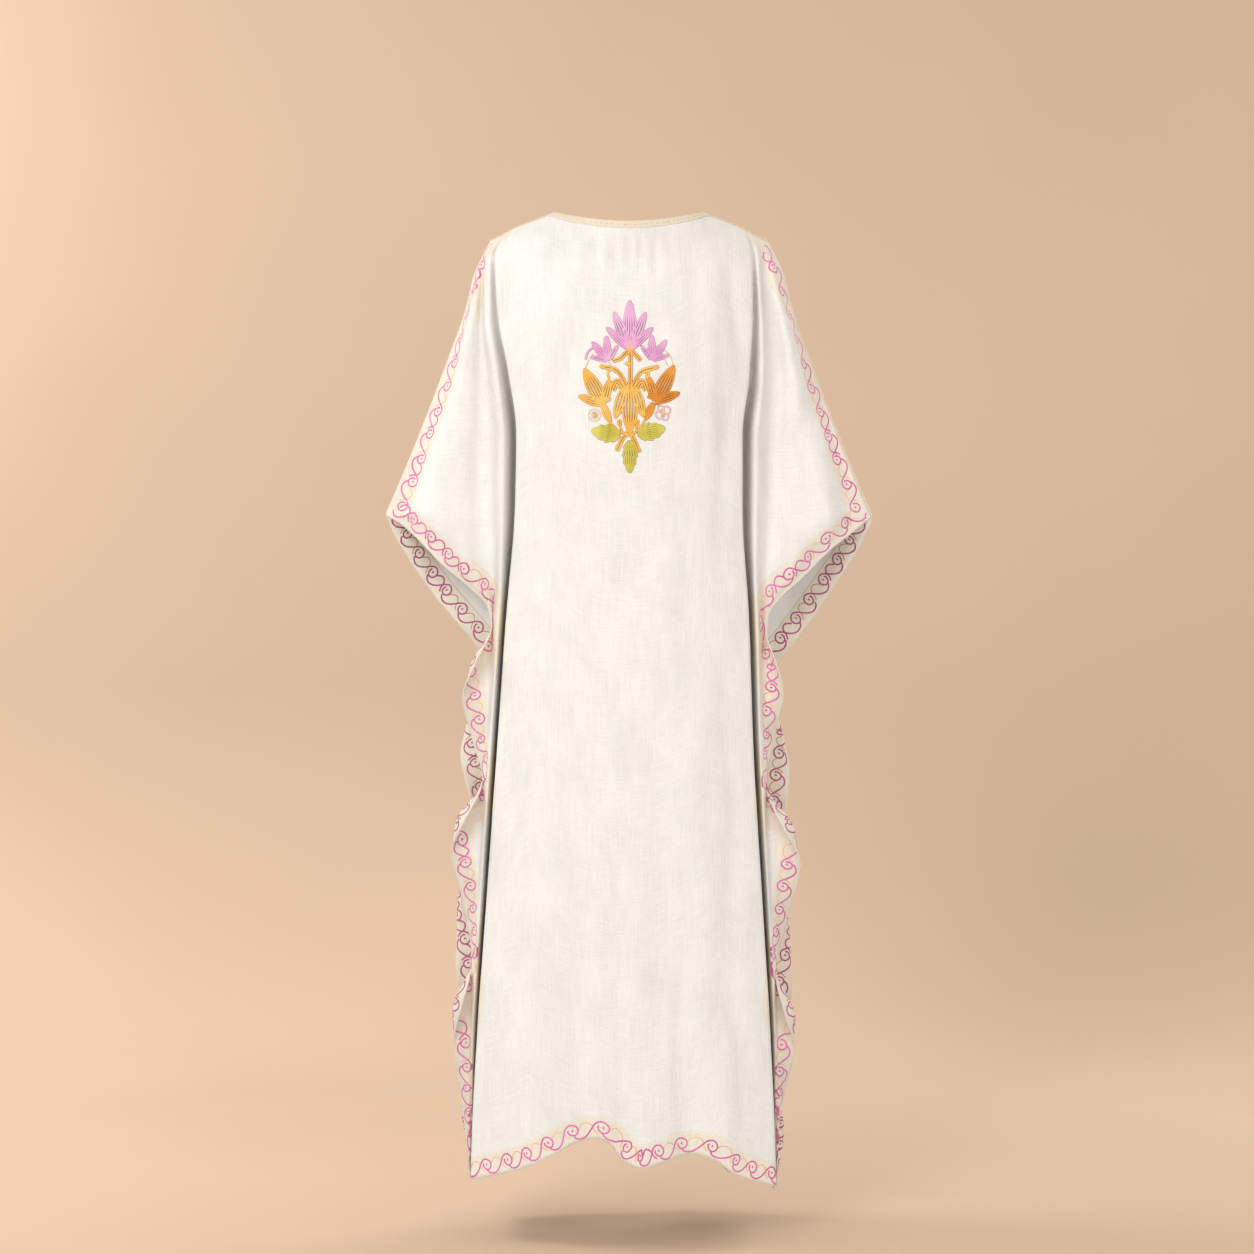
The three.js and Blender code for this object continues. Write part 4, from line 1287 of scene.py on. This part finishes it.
# Small rings of one row each.
RINGS = columns(
    "color side drop radius",
    (4, 49, 303, 8.5), (4, 49, 303, 4.5), (5, -44, 302, 6), (5, -53, 296, 5.5), (5, -51, 305, 5),
    (5, -45, 294, 4.5), (1, 49, 303, 1.5), (1, -48, 300, 1.8),
)
# Distance between rows of stitches and their lift off the cloth, in millimetres.
ROW_PITCH = 3.8
MOTIF_LIFT = 0.7


def nested_rows(outline, foot, spacing):
    """Closed rows that follow an outline inward towards the points at its middle."""
    reach = np.linalg.norm(outline - foot, axis=1).max()
    count = max(1, math.ceil(reach / spacing - 0.3))
    return [foot + (outline - foot) * (1 - (k + 0.5) / count) for k in range(count)]


def leaf_axis(base, tip):
    axis = tip - base
    length = math.hypot(*axis)
    return axis / length, np.array([-axis[1], axis[0]]) / length, length


def lobed_rows(base, tip, lobes, spread):
    """Rows of a flower or leaf with pointed lobes that fan out from its base."""
    axis, side, length = leaf_axis(base, tip)
    rows = []
    for turn in np.linspace(-1, 1, lobes):
        angle = turn * math.radians(spread)
        reach = length * (1 - 0.36 * abs(turn))
        heading = axis * math.cos(angle) + side * math.sin(angle)
        rows += leaf_rows(base, base + heading * reach, reach * (0.10 + 0.86 / lobes), 0)
    return rows


def leaf_rows(base, tip, width, teeth):
    """Rows of a leaf or bud that follow its edge towards its midrib."""
    axis, side, length = leaf_axis(base, tip)
    t = np.linspace(0, 1, 61)
    half = width / 2 * np.sin(math.pi * t**0.85) ** 0.8
    if teeth:
        half = half * (0.76 + 0.36 * ((t * teeth) % 1.0))
    rib = base + axis * (t * length)[:, None]
    outline = np.concatenate([rib + side * half[:, None], (rib - side * half[:, None])[::-1]])
    inner = base + axis * (np.clip(t, 0.12, 0.88) * length)[:, None]
    foot = np.concatenate([inner, inner[::-1]])
    return nested_rows(outline, foot, ROW_PITCH)


def stem_rows(places, rows):
    """Rows side by side along a bent stem."""
    line = smooth_line(places, 1.0)
    tangent = unit(np.gradient(line, axis=0))
    side = np.stack([-tangent[:, 1], tangent[:, 0]], 1)
    offsets = (np.arange(rows) - (rows - 1) / 2) * ROW_PITCH * 0.9
    return [line + side * offset for offset in offsets]


def motif_rows():
    """Every row of the motif with its colour."""
    rows = []
    for color, *places, lobes, spread in table_rows(LOBED):
        base, tip = np.array(places).reshape(2, 2)
        rows += [(int(color), line) for line in lobed_rows(base, tip, int(lobes), spread)]
    for color, *places, width, teeth in table_rows(LEAVES):
        base, tip = np.array(places).reshape(2, 2)
        rows += [(int(color), line) for line in leaf_rows(base, tip, width, int(teeth))]
    for color, *places, count in table_rows(STEMS):
        bends = np.array(places).reshape(3, 2)
        rows += [(int(color), line) for line in stem_rows(bends, int(count))]
    turn = np.linspace(0, 2 * math.pi, 40)
    for color, side, drop, radius in table_rows(RINGS):
        ring = np.stack([side + radius * np.cos(turn), drop + radius * np.sin(turn)], 1)
        rows.append((int(color), ring))
    return rows


def even_steps(line, step):
    """A line in the plane with its points evenly spaced."""
    run = running_length(line)
    at = np.linspace(0, run[-1], max(6, int(run[-1] / step)))
    return np.stack([np.interp(at, run, line[:, 0]), np.interp(at, run, line[:, 1])], 1)


class KAFTAN_OT_motif(bpy.types.Operator):
    """Embroiders the flowering plant between the shoulder blades"""

    bl_idname = "kaftan.motif"
    bl_label = "Back motif"

    def execute(self, context):
        threads = context.scene.kaftan_thread
        cloth = get_cloth(BACK)
        dyes = (
            ("pink", threads.pink, threads.pink_dark, 1.0),
            ("orange", threads.orange, threads.orange_dark, 1.0),
            ("amber", threads.amber, threads.amber_dark, 1.0),
            ("green", threads.green, threads.green_dark, 1.0),
            ("pale", threads.pale, threads.pale, 0.5),
            ("blush", threads.blush, threads.blush, 0.7),
        )
        rows = motif_rows()
        for code, (name, light, dark, scale) in enumerate(dyes):
            lines = []
            for color, line in rows:
                if color != code:
                    continue
                line = even_steps(line, 0.75)
                if len(line) < 6:
                    continue
                places = cloth.find(line[:, 0] * MM, line[:, 1] * MM)
                points, normals = cloth.at(*places)
                points = points + normals * MOTIF_LIFT * MM
                lines.append((points, normals, np.full(len(points), scale)))
            # The motif's rows get the deepest painted shade between them.
            material = thread_material(name + "_thread", tuple(light), tuple(dark), 0.4)
            piece = thread_mesh("motif_" + name, lines, material, MOTIF_STITCH)
            finish_piece(piece)
        return {"FINISHED"}


class KAFTAN_PT_panel(bpy.types.Panel):
    """Lists the steps that build the kaftan"""

    bl_idname = "KAFTAN_PT_panel"
    bl_label = "Kaftan"
    bl_space_type = "VIEW_3D"
    bl_region_type = "UI"
    bl_category = "Kaftan"

    def draw(self, context):
        for step in STEPS:
            self.layout.operator(step.bl_idname)


STEPS = (
    KAFTAN_OT_stage, KAFTAN_OT_panels, KAFTAN_OT_binding, KAFTAN_OT_stitching, KAFTAN_OT_border,
    KAFTAN_OT_motif,
)
CLASSES = (KaftanCloth, KaftanThread, KaftanStage, *STEPS, KAFTAN_PT_panel)


def register():
    for each in CLASSES:
        bpy.utils.register_class(each)
    bpy.types.Scene.kaftan_cloth = PointerProperty(type=KaftanCloth)
    bpy.types.Scene.kaftan_thread = PointerProperty(type=KaftanThread)
    bpy.types.Scene.kaftan_stage = PointerProperty(type=KaftanStage)


def unregister():
    del bpy.types.Scene.kaftan_stage
    del bpy.types.Scene.kaftan_thread
    del bpy.types.Scene.kaftan_cloth
    for each in reversed(CLASSES):
        bpy.utils.unregister_class(each)


def main():
    register()
    bpy.ops.kaftan.stage()
    bpy.ops.kaftan.panels()
    bpy.ops.kaftan.binding()
    bpy.ops.kaftan.stitching()
    bpy.ops.kaftan.border()
    bpy.ops.kaftan.motif()
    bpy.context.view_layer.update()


if __name__ == "__main__":
    main()
